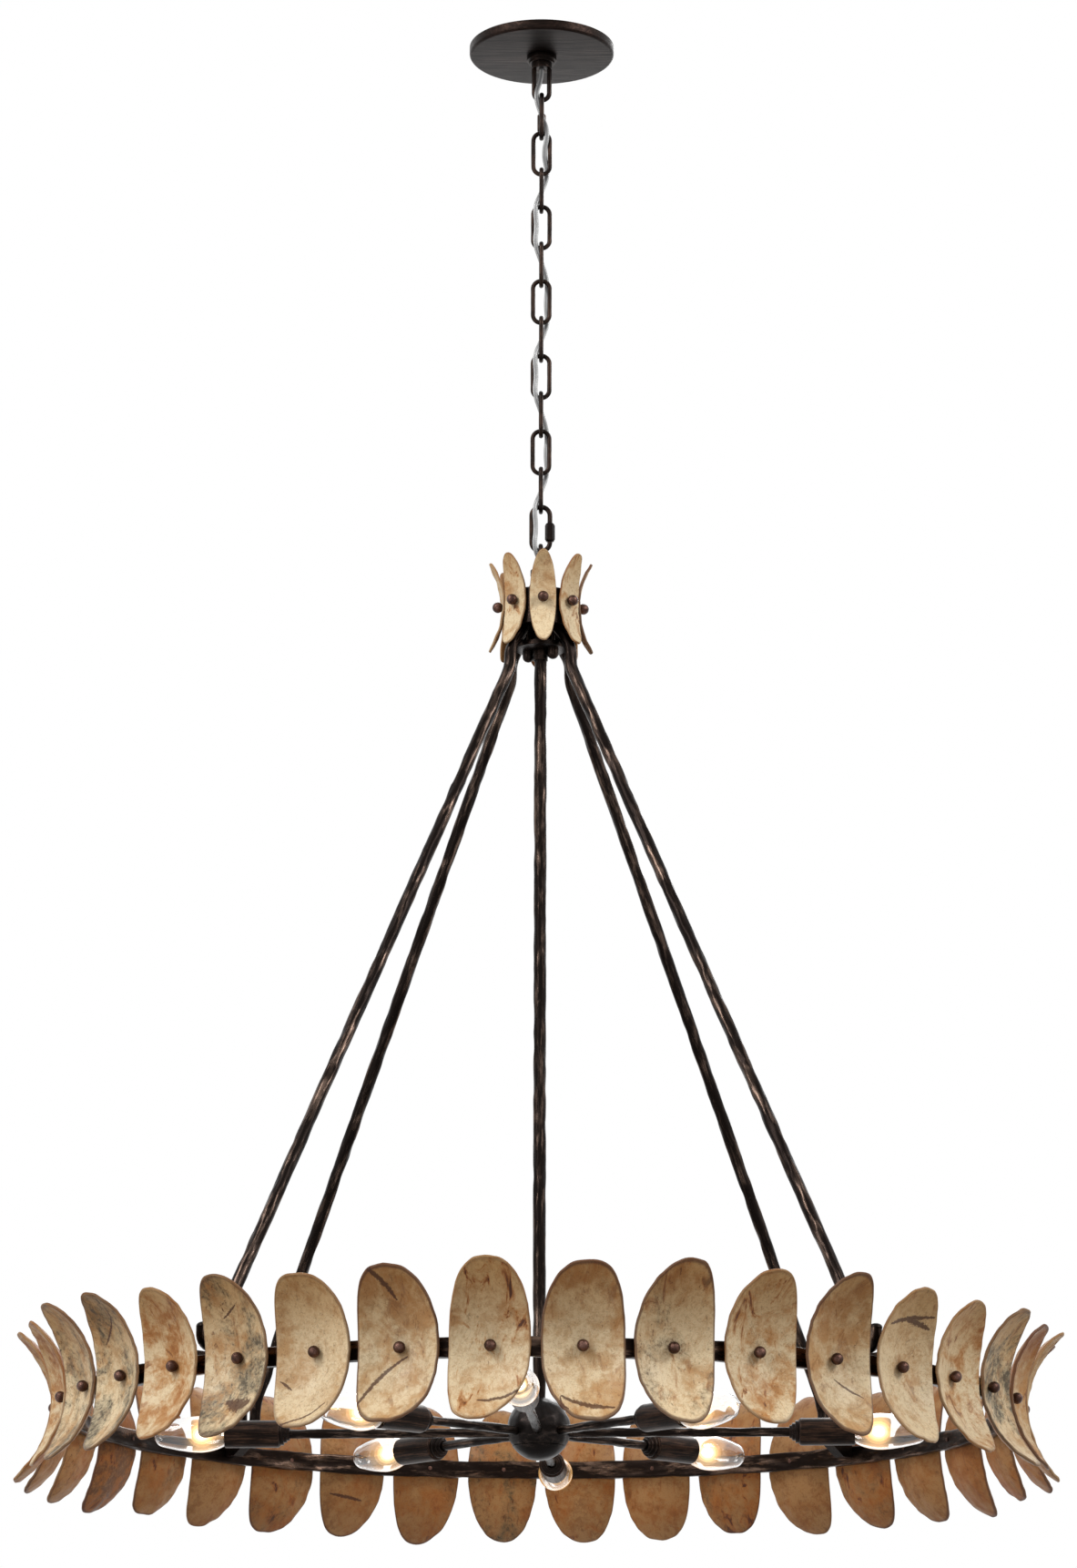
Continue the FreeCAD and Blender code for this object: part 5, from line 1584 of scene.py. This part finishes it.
@dataclass
class ShellWork:
    """All the cut shells, on the ring and round the crown."""

    finishes: Finishes
    ring_z: float
    crown_z: float
    height: float = 0.142
    width: float = 0.073
    curve: float = 0.080
    thickness: float = 0.003
    seat: float = 0.460
    characters: str = (
        "TAN SPECKLED RUST TAN CREAM HONEY GREY OCHRE CREAM OCHRE OCHRE TAN TAN CLOUDED PLAIN CLOUDED CREAM RUST "
        "GREY OCHRE TAN CLOUDED PLAIN CLOUDED BROWN GREY TAN HONEY HONEY GREY GREY HONEY GREY PLAIN TAN SPOTTED")
    petal_characters: str = "CREAM HONEY TAN CREAM PLAIN HONEY CREAM SPOTTED"
    growths: dict[int, tuple[Growth, ...]] = field(default_factory=lambda: {
        34: (Growth((-0.0262, 0.0700), (-0.0010, 0.0415), -0.0026, 0.0052),
             Growth((0.0062, -0.0080), (-0.0325, -0.0560), 0.0062, 0.0040)),
        0: (Growth((-0.0200, -0.0470), (0.0250, -0.0575), 0.0026, 0.0052),
            Growth((-0.0215, -0.0480), (-0.0150, -0.0590), 0.0022, 0.0036)),
        35: (Growth((-0.010, -0.0500), (0.0260, -0.0410), 0.0030, 0.0034),),
        33: (Growth((-0.030, -0.026), (-0.0190, -0.034), -0.0005, 0.0024),
             Growth((-0.026, -0.069), (0.0190, -0.048), 0.0050, 0.0024)),
        4: (Growth((-0.024, 0.036), (0.026, 0.046), -0.0024, 0.0046),
            Growth((-0.004, 0.042), (0.026, 0.036), -0.0016, 0.0056)),
        3: (Growth((-0.002, -0.018), (0.024, -0.034), 0.0006, 0.0024),),
        30: (Growth((-0.020, 0.030), (0.006, 0.052), 0.0, 0.0024),),
        32: (Growth((-0.012, 0.036), (0.004, 0.046), 0.0, 0.0024),
             Growth((-0.004, -0.040), (0.022, -0.042), 0.0030, 0.0150)),
        20: (Growth((-0.010, -0.034), (0.024, -0.028), 0.0, 0.0036),)})
    shapes: dict[int, tuple[float, float, float, float, float]] = field(default_factory=lambda: {
        33: (2.45, -0.004, -0.002, 0.0, 0.0), 34: (2.5, -0.006, -0.006, -62.0, 0.035),
        35: (2.5, -0.001, -0.010, -58.0, 0.10), 0: (2.6, 0.002, 0.006, -128.0, 0.03),
        1: (2.3, 0.006, 0.003, -125.0, 0.03), 2: (2.25, 0.004, 0.001, -125.0, 0.02), 3: (2.2, 0.001, -0.001, 0.0, 0.0),
        32: (2.3, -0.003, 0.001, 0.0, 0.0), 31: (2.2, -0.001, 0.0, 0.0, 0.0), 30: (2.2, -0.001, 0.001, 0.0, 0.0)})

    def build(self) -> None:
        """Make and dress the six groups on the ring and the eight petals."""
        looks = [Character[name] for name in self.characters.split()]
        for group in range(SHELL_GROUPS):
            parts = []
            for index in range(group, RING_SHELLS, SHELL_GROUPS):
                turn, chance = math.radians(index * 137.5), random.Random(index * 17 + 3)
                loose = (chance.uniform(2.2, 2.5), chance.uniform(-0.003, 0.003), chance.uniform(-0.003, 0.003),
                         chance.uniform(-150, -30), chance.uniform(0.0, 0.03))
                blunt, high, low, side, trim = self.shapes.get(index, loose)
                height = self.height * (1 + 0.035 * math.sin(turn))
                width = self.width * (1 + 0.025 * math.cos(2 * turn))
                cut = ShellCut(height, width, (1 + 0.03 * math.sin(3 * turn)) / 2, self.curve, self.thickness,
                               self.seat, self.ring_z, blunt=blunt, lean=(high, low), trim=(side, trim))
                parts.append(self.one(cut, index, looks[index], RING_AZIMUTH + 360.0 / RING_SHELLS * index, 0.016))
            piece = joined(f"cut_shells_{group + 1}", parts)
            settle(piece, "light_frame", Slot.SHELL, f"ring_shells_{group + 1}")
        petals = []
        for index, name in enumerate(self.petal_characters.split()):
            cut = ShellCut(height=0.095, width=0.027, upper_share=0.5, curve=self.curve, thickness=0.0026,
                           seat=0.0357, centre_z=self.crown_z, rings=13, spokes=64, blunt=2.15)
            petals.append(self.one(cut, 60 + index, Character[name], CROWN_AZIMUTH + EIGHTH * index, 0.02))
        settle(joined("crown_petals", petals), "light_frame", Slot.SHELL, "crown_shells")

    def one(self, cut: ShellCut, seed: int, look: Character, azimuth: float, wobble: float) -> Piece:
        """Make one shell and turn it to its place.

        Args:
            cut: Its size.
            seed: Which shell it is.
            look: Its character.
            azimuth: Its azimuth in degrees.
            wobble: How far its outline wanders.

        Returns:
            The shell.
        """
        points, faces, carried = cut.grid(seed, wobble)
        piece = mesh_object(f"shell_{seed}", points, faces, self.finishes.shell, 60.0)
        count = len(points)
        warm, rusty, spotty, mouldy, edge, scratched = look.value
        carried.update(edge=[edge], scratched=[scratched], spotty=[spotty])
        lines = (self.growths.get(seed, ()) + (Growth((0.0, 0.0), (0.001, 0.0), 0.0, 0.0),) * 2)[:2]
        for mark, line in zip(("first", "second"), lines):
            carried[f"{mark}_from"] = [*line.start, line.bow] * count
            carried[f"{mark}_to"] = [*line.end, line.width] * count
        for name, values in carried.items():
            carry(piece, name, values)
        piece.data.attributes.new("tone", "FLOAT_COLOR", "POINT").data.foreach_set(
            "color", [warm, rusty, mouldy, 1.0] * count)
        return placed(piece, about_axis(azimuth))


@dataclass
class Rivets:
    """The ball-headed rivets that hold the shells."""

    finishes: Finishes
    head: float = 0.0055
    stand_off: float = 0.005

    def row(self, name: str, node: str, face: float, inner: float, z: float, count: int, azimuth: float) -> None:
        """Make one row of rivets.

        Args:
            name: The piece's name.
            node: The solid it replaces.
            face: The radius of the shells' face, where the heads sit.
            inner: The radius where the shanks end.
            z: The row's height.
            count: How many there are.
            azimuth: The first one's azimuth in degrees.
        """
        outline = [(0.0, self.stand_off + self.head)]
        outline += [(self.head * math.sin(a), self.stand_off + self.head * math.cos(a)) for a in sweep(12, 1, 14)]
        neck = 0.002
        outline += [(neck + 0.0009, 0.0003), (neck, -0.0002), (neck, inner - face + 0.0004), (0.0, inner - face)]
        one = lathe("one_rivet", outline, self.finishes.rivet, 22)
        placed(one, Matrix.Translation((0.0, -face, z)) @ OUTWARDS)
        piece = formed(one, round_the_axis(), name, {
            "Count": count, "First azimuth": math.radians(azimuth), "Material": self.finishes.rivet})
        settle(piece, "light_frame", Slot.SMOOTH, node)


@dataclass
class ForgedFrame:
    """The hoop, the four hooked rods, the stem, the hub, the eight arms and their cups."""

    finishes: Finishes
    ring_z: float
    cap_bottom: float
    plate_bottom: float
    hub_radius: float = 0.0309
    hub_drop: float = 0.014
    body: str = "light_frame"

    def build(self) -> None:
        """Make and dress each piece."""
        self.hoop()
        self.rods()
        self.stem()
        self.hub()
        self.arms()
        self.cups()

    def hoop(self) -> None:
        """The flat bar hoop."""
        start = line_object([(0.0, 0.0, 0.0), (0.001, 0.0, 0.0)])
        piece = formed(start, forged_hoop(), "hammered_hoop", {
            "Mean radius": 0.45525, "Centre height": self.ring_z, "Dent depth": 0.0013, "Dent size": 0.014,
            "Seed": 4.0, "Material": self.finishes.hoop})
        settle(piece, self.body, Slot.HAMMERED, "ring")

    def rods(self) -> None:
        """The four rods, each ending in a hook that stands on its lug."""
        shoulder = self.cap_bottom - 0.052
        leg, end, turn = 0.4125, 0.4335, self.ring_z + 0.0331
        corners = [(0.0, -0.022, self.cap_bottom), (0.0, -0.022, self.cap_bottom - 0.027),
                   (0.0, -0.0425, shoulder), (0.0, -0.0425, shoulder - 0.020), (0.0, -leg, self.ring_z + 0.0465),
                   (0.0, -leg, turn)]
        line = arced(corners, [0.025, 0.025, 0.030, 0.045], 0.002)
        middle, half = (leg + end) / 2, (end - leg) / 2
        line += [Vector((0.0, -middle + half * math.cos(a), turn - half * math.sin(a))) for a in sweep(9, 1, 21)]
        tip = self.ring_z + 0.044
        line += [Vector((0.0, -end, tip - 0.0045))]
        for index in range(4):
            bar = bar_along("bar", line, 0.0127, self.finishes.forged, dent_depth=0.0010, seed=13.7 * index + 2.0,
                            step=0.0026, sides=30)
            ball = [(0.0, 0.0)] + [(0.00635 * math.sin(a), 0.0045 - 0.0045 * math.cos(a) - 0.0001)
                                   for a in sweep(15, 1, 7)]
            cap = lathe("tip", [(r, tip - z) for r, z in ball], self.finishes.forged, 30)
            placed(cap, Matrix.Translation((0.0, -end, 0.0)))
            piece = joined(f"hooked_rod_{index + 1}", [bar, cap])
            placed(piece, about_axis(ROD_AZIMUTH + 90.0 * index))
            settle(piece, self.body, Slot.HAMMERED, f"rod_{index + 1}")

    def stem(self) -> None:
        """The hammered stem down the middle and its stepped collar."""
        top, bottom = self.cap_bottom - 0.00315, self.ring_z - self.hub_drop + self.hub_radius - 0.006
        line = [(0.0, 0.0, top), (0.0, 0.0, bottom)]
        piece = bar_along("hammered_stem", line, 0.013, self.finishes.forged, dent_depth=0.0007, seed=31.0,
                          step=0.0026, sides=30)
        settle(piece, self.body, Slot.HAMMERED, "stem")
        z = self.plate_bottom
        outline = eased([(0.0066, z), (0.0081, z), (0.0081, z - 0.006), (0.0074, z - 0.006), (0.0074, z - 0.011),
                         (0.0066, z - 0.011)], 0.0007)
        settle_ring("stem_stepped_collar", self.body, "stem_collar", outline, self.finishes.smooth, 48)

    def hub(self) -> None:
        """The ball, lightly dented round its shoulder, with its parting line."""
        z, r, split = self.ring_z - self.hub_drop, self.hub_radius, -0.017
        outline = [(r * math.sin(a), z + r * math.cos(a)) for a in sweep(3, 4, 61)]
        above = [(x, y) for x, y in outline if y - z > split]
        below = [(x, y) for x, y in outline if y - z < split]
        edge = math.sqrt(r ** 2 - split ** 2)
        inner = math.sqrt((r - 0.003) ** 2 - split ** 2)
        upper = above + [(edge, z + split + 0.0003), (edge - 0.0004, z + split), (inner, z + split)]
        upper += [(0.0066, z + r - 0.0035)]
        lower = [(0.0, z + split), (edge - 0.0004, z + split), (edge, z + split - 0.0003)] + below[:-1]
        lower += [(0.0, z - r)]
        for name, shape, node, depth in (("hub_ball_body", upper, "hub_body", 0.0011),
                                         ("hub_ball_cap", lower, "hub_cap", 0.0002)):
            piece = lathe(name, shape, self.finishes.hub, 96, closed=name == "hub_ball_body")
            self.dent(piece, depth, 0.012)
            settle(piece, self.body, Slot.HAMMERED, node)

    @staticmethod
    def dent(piece: Piece, depth: float, size: float) -> None:
        """Press soft dents into a piece and mark how high each point stays.

        Args:
            piece: The piece.
            depth: The dents' depth.
            size: Their size.
        """
        crests, struck = [], []
        for vertex in piece.data.vertices:
            struck += list(vertex.co / size)
            near = noise.voronoi(vertex.co / size, distance_metric="DISTANCE")[0][0]
            crest = max(0.0, min(1.0, (near - 0.15) / 0.6))
            vertex.co += vertex.normal * (crest - 1.0) * depth
            crests.append(crest)
        carry(piece, "crest", crests)
        carry(piece, "struck", struck)

    def arms(self) -> None:
        """The eight hammered arms, long and short by turns, and the collars at their outer ends."""
        z, parts = self.ring_z - ARM_DROP, []
        for index in range(ARMS):
            line = [(0.0, -0.0255, z), (0.0, -0.2505 + SHORTER * (index % 2), z)]
            bar = bar_along("arm", line, 0.0094, self.finishes.forged, dent_depth=0.0008, seed=50.0 + 9.1 * index,
                            step=0.0024, sides=26, dent_length=0.022)
            parts.append(placed(bar, about_axis(ARM_AZIMUTH + EIGHTH * index)))
        settle(joined("hammered_arms", parts), self.body, Slot.HAMMERED, "lamp_arms")
        outline = eased([(0.0048, 0.0), (0.0065, 0.0), (0.0065, 0.0026), (0.0085, 0.0026), (0.0085, 0.0058),
                         (0.0110, 0.0058), (0.0110, 0.0090), (0.0048, 0.0090)], 0.0007)
        self.spread(outline, 40, True, 0.242, z, "arm_stepped_collars", "arm_collars", Slot.SMOOTH,
                    self.finishes.smooth)

    def cups(self) -> None:
        """The eight brushed socket cups and the lampholders inside them."""
        z = self.ring_z - ARM_DROP
        outline = [(0.01325 - 0.0028 * (1 - math.sin(a)), 0.0028 * (1 - math.cos(a))) for a in sweep(11.25, 0, 9)]
        outline = [(0.0048, 0.0)] + outline + [(0.01325, 0.0537), (0.01295, 0.054), (0.01225, 0.054),
                                               (0.01225, 0.0035), (0.0105, 0.001), (0.0048, 0.001)]
        self.spread(outline, 56, True, 0.251, z, "brushed_socket_cups", "socket_cups", Slot.SMOOTH, self.finishes.cup)
        outline = eased([(0.0, 0.0), (0.0115, 0.0), (0.0115, 0.040), (0.0062, 0.040), (0.0062, 0.020),
                         (0.0, 0.020)], 0.0005)
        self.spread(outline, 40, False, 0.252, z, "lampholder_inserts", "lampholders", Slot.HOLDER,
                    self.finishes.holder)

    def spread(self, outline: Outline, segments: int, closed: bool, start: float, z: float, name: str, node: str,
               slot: Slot, material: Material) -> None:
        """Turn a part, lay it along an arm and copy it to the four long and the four short ones.

        Args:
            outline: Its radius and height, from height 0.
            segments: Steps round it.
            closed: Whether the outline closes on itself.
            start: The radius where it starts on a long arm.
            z: The arms' height.
            name: The piece's name.
            node: The solid it replaces.
            slot: Its material slot.
            material: Its material.
        """
        sets = []
        for index in range(2):
            one = lathe("one", outline, material, segments, closed=closed)
            where = Matrix.Translation((0.0, SHORTER * index - start, z))
            placed(one, where @ OUTWARDS)
            sets.append(formed(one, round_the_axis(), "four", {
                "Count": ARMS // 2, "First azimuth": math.radians(ARM_AZIMUTH + EIGHTH * index),
                "Material": material}))
        settle(joined(name, sets), self.body, slot, node)


@dataclass
class Crown:
    """The band, plates, bolts and loop that carry the light."""

    finishes: Finishes
    crown_z: float
    cap_bottom: float
    plate_bottom: float
    loop_z: float = -0.5429
    body: str = "light_frame"

    def build(self) -> None:
        """Make and dress each piece."""
        self.band_and_plates()
        self.bolts()
        self.loop()

    def band_and_plates(self) -> None:
        """The band behind the petals, the cap inside it and the plate under it."""
        z = self.crown_z
        outline = [(0.0325, z - 0.024), (0.0357, z - 0.024), (0.0357, z + 0.013), (0.0325, z + 0.013),
                   (0.0325, z - 0.024)]
        settle_ring("crown_hoop", self.body, "crown_band", eased(outline, 0.0006)[:-1], self.finishes.smooth, 96)
        outline = [(0.0051, z + 0.008), (0.0325, z + 0.008), (0.0325, z + 0.003), (0.0051, z + 0.003)]
        settle_ring("crown_disc", self.body, "crown_cap", eased(outline, 0.0004), self.finishes.smooth, 80)
        top = self.plate_bottom + 0.005
        outline = [(0.0067, top), (0.0258, top), (0.0258, self.plate_bottom), (0.0067, self.plate_bottom)]
        settle_ring("crown_lower_disc", self.body, "crown_plate", eased(outline, 0.0008), self.finishes.smooth, 80)

    def bolts(self) -> None:
        """The two tie bolts with acorn nuts."""
        low, high, parts = self.plate_bottom - 0.005, self.crown_z + 0.008, []
        outline = [(0.0, low - 0.0058)]
        outline += [(0.0058 * math.sin(a), low - 0.0058 * math.cos(a)) for a in sweep(15, 1, 7)]
        outline += [(0.0058, self.plate_bottom), (0.0022, self.plate_bottom), (0.0022, high), (0.0044, high),
                    (0.0044, high + 0.0022), (0.0036, high + 0.003), (0.0, high + 0.003)]
        for azimuth in (62.0, 242.0):
            bolt = lathe("bolt", outline, self.finishes.smooth, 36)
            placed(bolt, about_axis(azimuth) @ Matrix.Translation((0.0, -0.014, 0.0)))
            parts.append(bolt)
        settle(joined("crown_acorn_bolts", parts), self.body, Slot.SMOOTH, "crown_tie_bolts")

    def loop(self) -> None:
        """The wire loop, its base, neck, flange and shank."""
        top = self.loop_z + 0.0025 - 0.01035 - 0.018
        flange, shank = self.crown_z + 0.008, self.cap_bottom - 0.014
        outline = [(0.0028, top - 0.004), (0.0028, top), (0.0105, top), (0.0105, top - 0.006), (0.008, top - 0.006),
                   (0.008, flange + 0.004), (0.0093, flange + 0.004), (0.0093, flange), (0.0049, flange),
                   (0.0049, shank), (0.0, shank)]
        base = lathe("base", eased(outline, 0.0007), self.finishes.smooth, 64)
        half = 0.00785
        bend = [(0.0, half * math.cos(a), self.loop_z - half + half * math.sin(a)) for a in sweep(9, 0, 21)]
        line = [(0.0, half, top - 0.0025)] + bend + [(0.0, -half, top - 0.0025)]
        wire = bar_along("wire", line, 0.005, self.finishes.smooth, step=0.0012, sides=20)
        settle(joined("crown_hanging_loop", [base, wire]), self.body, Slot.SMOOTH, "crown_loop")


@dataclass
class CandleBulbs:
    """The eight clear bulbs, each on its own body."""

    finishes: Finishes
    arm_z: float
    glass_start: float = 0.2923
    tip: float = 0.375
    neck: float = 0.0066
    widest: float = 0.0175
    wall: float = 0.0009
    base_radius: float = 0.00595
    base_start: float = 0.2733
    filament_at: float = 0.326

    def build(self) -> None:
        """Make the parts of one bulb and lay them out on each arm."""
        for index in range(ARMS):
            body = f"bulb_{index + 1}"
            lay = about_axis(ARM_AZIMUTH + EIGHTH * index) @ Matrix.Translation(
                (0.0, SHORTER * (index % 2), self.arm_z)) @ OUTWARDS
            for part, make in (("glass", self.envelope), ("base", self.base), ("mount", self.mount),
                               ("filament", self.filament), ("glow", self.halo)):
                piece = placed(make(), lay)
                piece.name = piece.data.name = f"bulb_{part}_{index + 1}"
                settle(piece, body, Slot.GLASS, *([body] if part == "glass" else []))
                piece.visible_shadow = part not in ("glass", "glow")
            data = bpy.data.lights.new(f"bulb_light_{index + 1}", "POINT")
            data.energy, data.color, data.shadow_soft_size = 0.10, (1.0, 0.84, 0.62), 0.006
            light = linked(f"bulb_light_{index + 1}", data)
            light.location = lay @ Vector((0.0, 0.0, self.filament_at))
            light.visible_camera = light.visible_transmission = light.visible_glossy = False
            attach(light, body)

    def profile(self, inset: float) -> Outline:
        """The envelope's outline as radius and reach, from the neck to the tip.

        Args:
            inset: How far inside the outer face it lies.

        Returns:
            The outline.
        """
        shares = [(0.0, 0.0), (0.08, 0.12), (0.24, 0.72), (0.42, 1.0), (0.62, 0.9), (0.8, 0.66), (0.94, 0.32)]
        length = self.tip - self.glass_start
        knots = [Vector((self.neck - inset + s * (self.widest - self.neck), self.glass_start + a * length))
                 for a, s in shares] + [Vector((0.0, self.tip - inset))]
        before = Vector((knots[0].x, knots[0].y - 0.006))
        after = Vector((-knots[-2].x, knots[-2].y))
        chain = [before] + knots + [after]
        out = []
        for p, q, r, s in zip(chain, chain[1:], chain[2:], chain[3:]):
            for k in range(7):
                t = k / 7
                spot = 0.5 * ((2 * q) + (r - p) * t + (2 * p - 5 * q + 4 * r - s) * t ** 2
                              + (3 * q - p - 3 * r + s) * t ** 3)
                out.append((max(spot.x, 0.0), spot.y))
        return out + [(0.0, self.tip - inset)]

    def envelope(self) -> Piece:
        """The hollow glass, closed at its neck, with how much each point catches of the light.

        Returns:
            The glass.
        """
        outline = self.profile(0.0) + self.profile(self.wall)[::-1]
        piece = lathe("glass", outline, self.finishes.glass, 40, closed=True, sharp=60.0)
        carry(piece, "lit", [math.exp(-((v.co.z - self.filament_at) / 0.014) ** 2) for v in piece.data.vertices])
        return piece

    def base(self) -> Piece:
        """The rolled screw base with its contact.

        Returns:
            The base.
        """
        start, radius, end = self.base_start, self.base_radius, self.glass_start + 0.0004
        outline = [(0.0, start), (0.0022, start), (0.0026, start + 0.0012), (0.0046, start + 0.0028)]
        steps, turns = 44, 6
        for along in (k / steps for k in range(steps + 1)):
            outline.append((radius - 0.0005 + 0.00045 * math.cos(FULL_TURN * along * turns),
                            start + 0.0036 + along * 0.0128))
        outline += [(radius, start + 0.0172), (radius, end), (0.0, end)]
        return lathe("base", outline, self.finishes.brass, 36)

    def mount(self) -> Piece:
        """The glass stem and the two wires that hold the filament.

        Returns:
            The mount.
        """
        start = self.glass_start
        outline = [(0.0, start + 0.001), (0.0042, start + 0.001), (0.0030, start + 0.005), (0.0016, start + 0.012),
                   (0.0014, start + 0.018), (0.0, start + 0.0195)]
        stem = lathe("stem", eased(outline, 0.0008), self.finishes.glass, 20)
        # The glass stem takes a little of the painted glow too.
        carry(stem, "lit", [0.3])
        wires = []
        for side in (-1, 1):
            wire = lathe("wire", [(0.0, 0.0), (0.00022, 0.0), (0.00022, 0.0185), (0.0, 0.0185)], self.finishes.brass, 8)
            lean = Matrix.Translation((side * 0.0012, 0.0, start + 0.0165)) @ Matrix.Rotation(
                side * math.radians(14.0), 4, "Y")
            wires.append(placed(wire, lean))
        return joined("mount", [stem] + wires)

    def halo(self) -> Piece:
        """The glow round the filament, as thin veils one inside the other.

        Returns:
            The veils.
        """
        veils, middle = [], self.filament_at + 0.002
        for radius, veil in ((0.0036, 0.62), (0.0054, 0.36), (0.0074, 0.20), (0.0098, 0.11), (0.0125, 0.05)):
            outline = [(radius * math.sin(a), middle - 1.15 * radius * math.cos(a)) for a in sweep(15, 0, 13)]
            outline[0], outline[-1] = (0.0, outline[0][1]), (0.0, outline[-1][1])
            piece = lathe("veil", outline, self.finishes.halo, 24)
            carry(piece, "veil", [veil])
            veils.append(piece)
        return joined("glow", veils)

    def filament(self) -> Piece:
        """The coiled wire, bowed between its supports.

        Returns:
            The filament.
        """
        spots, count, turns, coil, wire, sides = [], 150, 15, 0.0008, 0.00028, 6
        for t in (k / count for k in range(count + 1)):
            bow = Vector((-0.0055 + 0.011 * t, 0.0, self.filament_at + 0.0055 * math.sin(math.pi * t)))
            turn = FULL_TURN * turns * t
            spots.append(bow + Vector((0.0, math.cos(turn), math.sin(turn))) * coil)
        points = []
        for k, spot in enumerate(spots):
            tangent = (spots[min(k + 1, count)] - spots[max(k - 1, 0)]).normalized()
            across = tangent.orthogonal().normalized()
            through = tangent.cross(across)
            points += [spot + (across * math.cos(a) + through * math.sin(a)) * wire for a in ring_of(sides)]
        return mesh_object("filament", points, tube(count + 1, sides), self.finishes.filament, 80.0)


def dress_solids(frame: dict, finishes: Finishes) -> None:
    """Give the solids that stay their materials.

    Args:
        frame: The loaded frame.
        finishes: The materials.
    """
    dress = {"mounting_strap": finishes.steel, "ground_screw": finishes.earth, "threaded_nipple": finishes.steel,
             "nipple_locknuts": finishes.steel, "crown_locknut": finishes.steel}
    for name, node in frame["nodes"].items():
        material = dress.get(name, finishes.smooth)
        node.data.materials.clear()
        node.data.materials.append(material)
        for polygon in node.data.polygons:
            polygon.material_index = 0


def main() -> None:
    """Build the studio and every sub-assembly, from the heights of the imported ring, crown cap and crown plate."""
    logging.basicConfig(level=logging.INFO, format="%(name)s: %(message)s")
    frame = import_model()
    ring_z = sum(corner.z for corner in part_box("ring")) / 2
    cap_bottom, plate_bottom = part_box("crown_cap")[0].z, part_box("crown_plate")[0].z
    crown_z = cap_bottom - CROWN_CAP_LIFT
    finishes = Finishes()
    Studio(ring_z).build()
    LampCord(finishes).build()
    dress_solids(frame, finishes)
    CeilingCanopy(finishes).build()
    Chain(finishes).build()
    Crown(finishes, crown_z, cap_bottom, plate_bottom).build()
    ForgedFrame(finishes, ring_z, cap_bottom, plate_bottom).build()
    ShellWork(finishes, ring_z, crown_z).build()
    rivets = Rivets(finishes)
    rivets.row("ring_ball_rivets", "ring_rivets", 0.463, 0.4505, ring_z, RING_SHELLS, RING_AZIMUTH)
    rivets.row("crown_ball_rivets", "crown_rivets", 0.0383, 0.0325, crown_z, ARMS, CROWN_AZIMUTH)
    CandleBulbs(finishes, ring_z - ARM_DROP).build()
    bpy.context.view_layer.update()


if __name__ == "__main__":
    main()
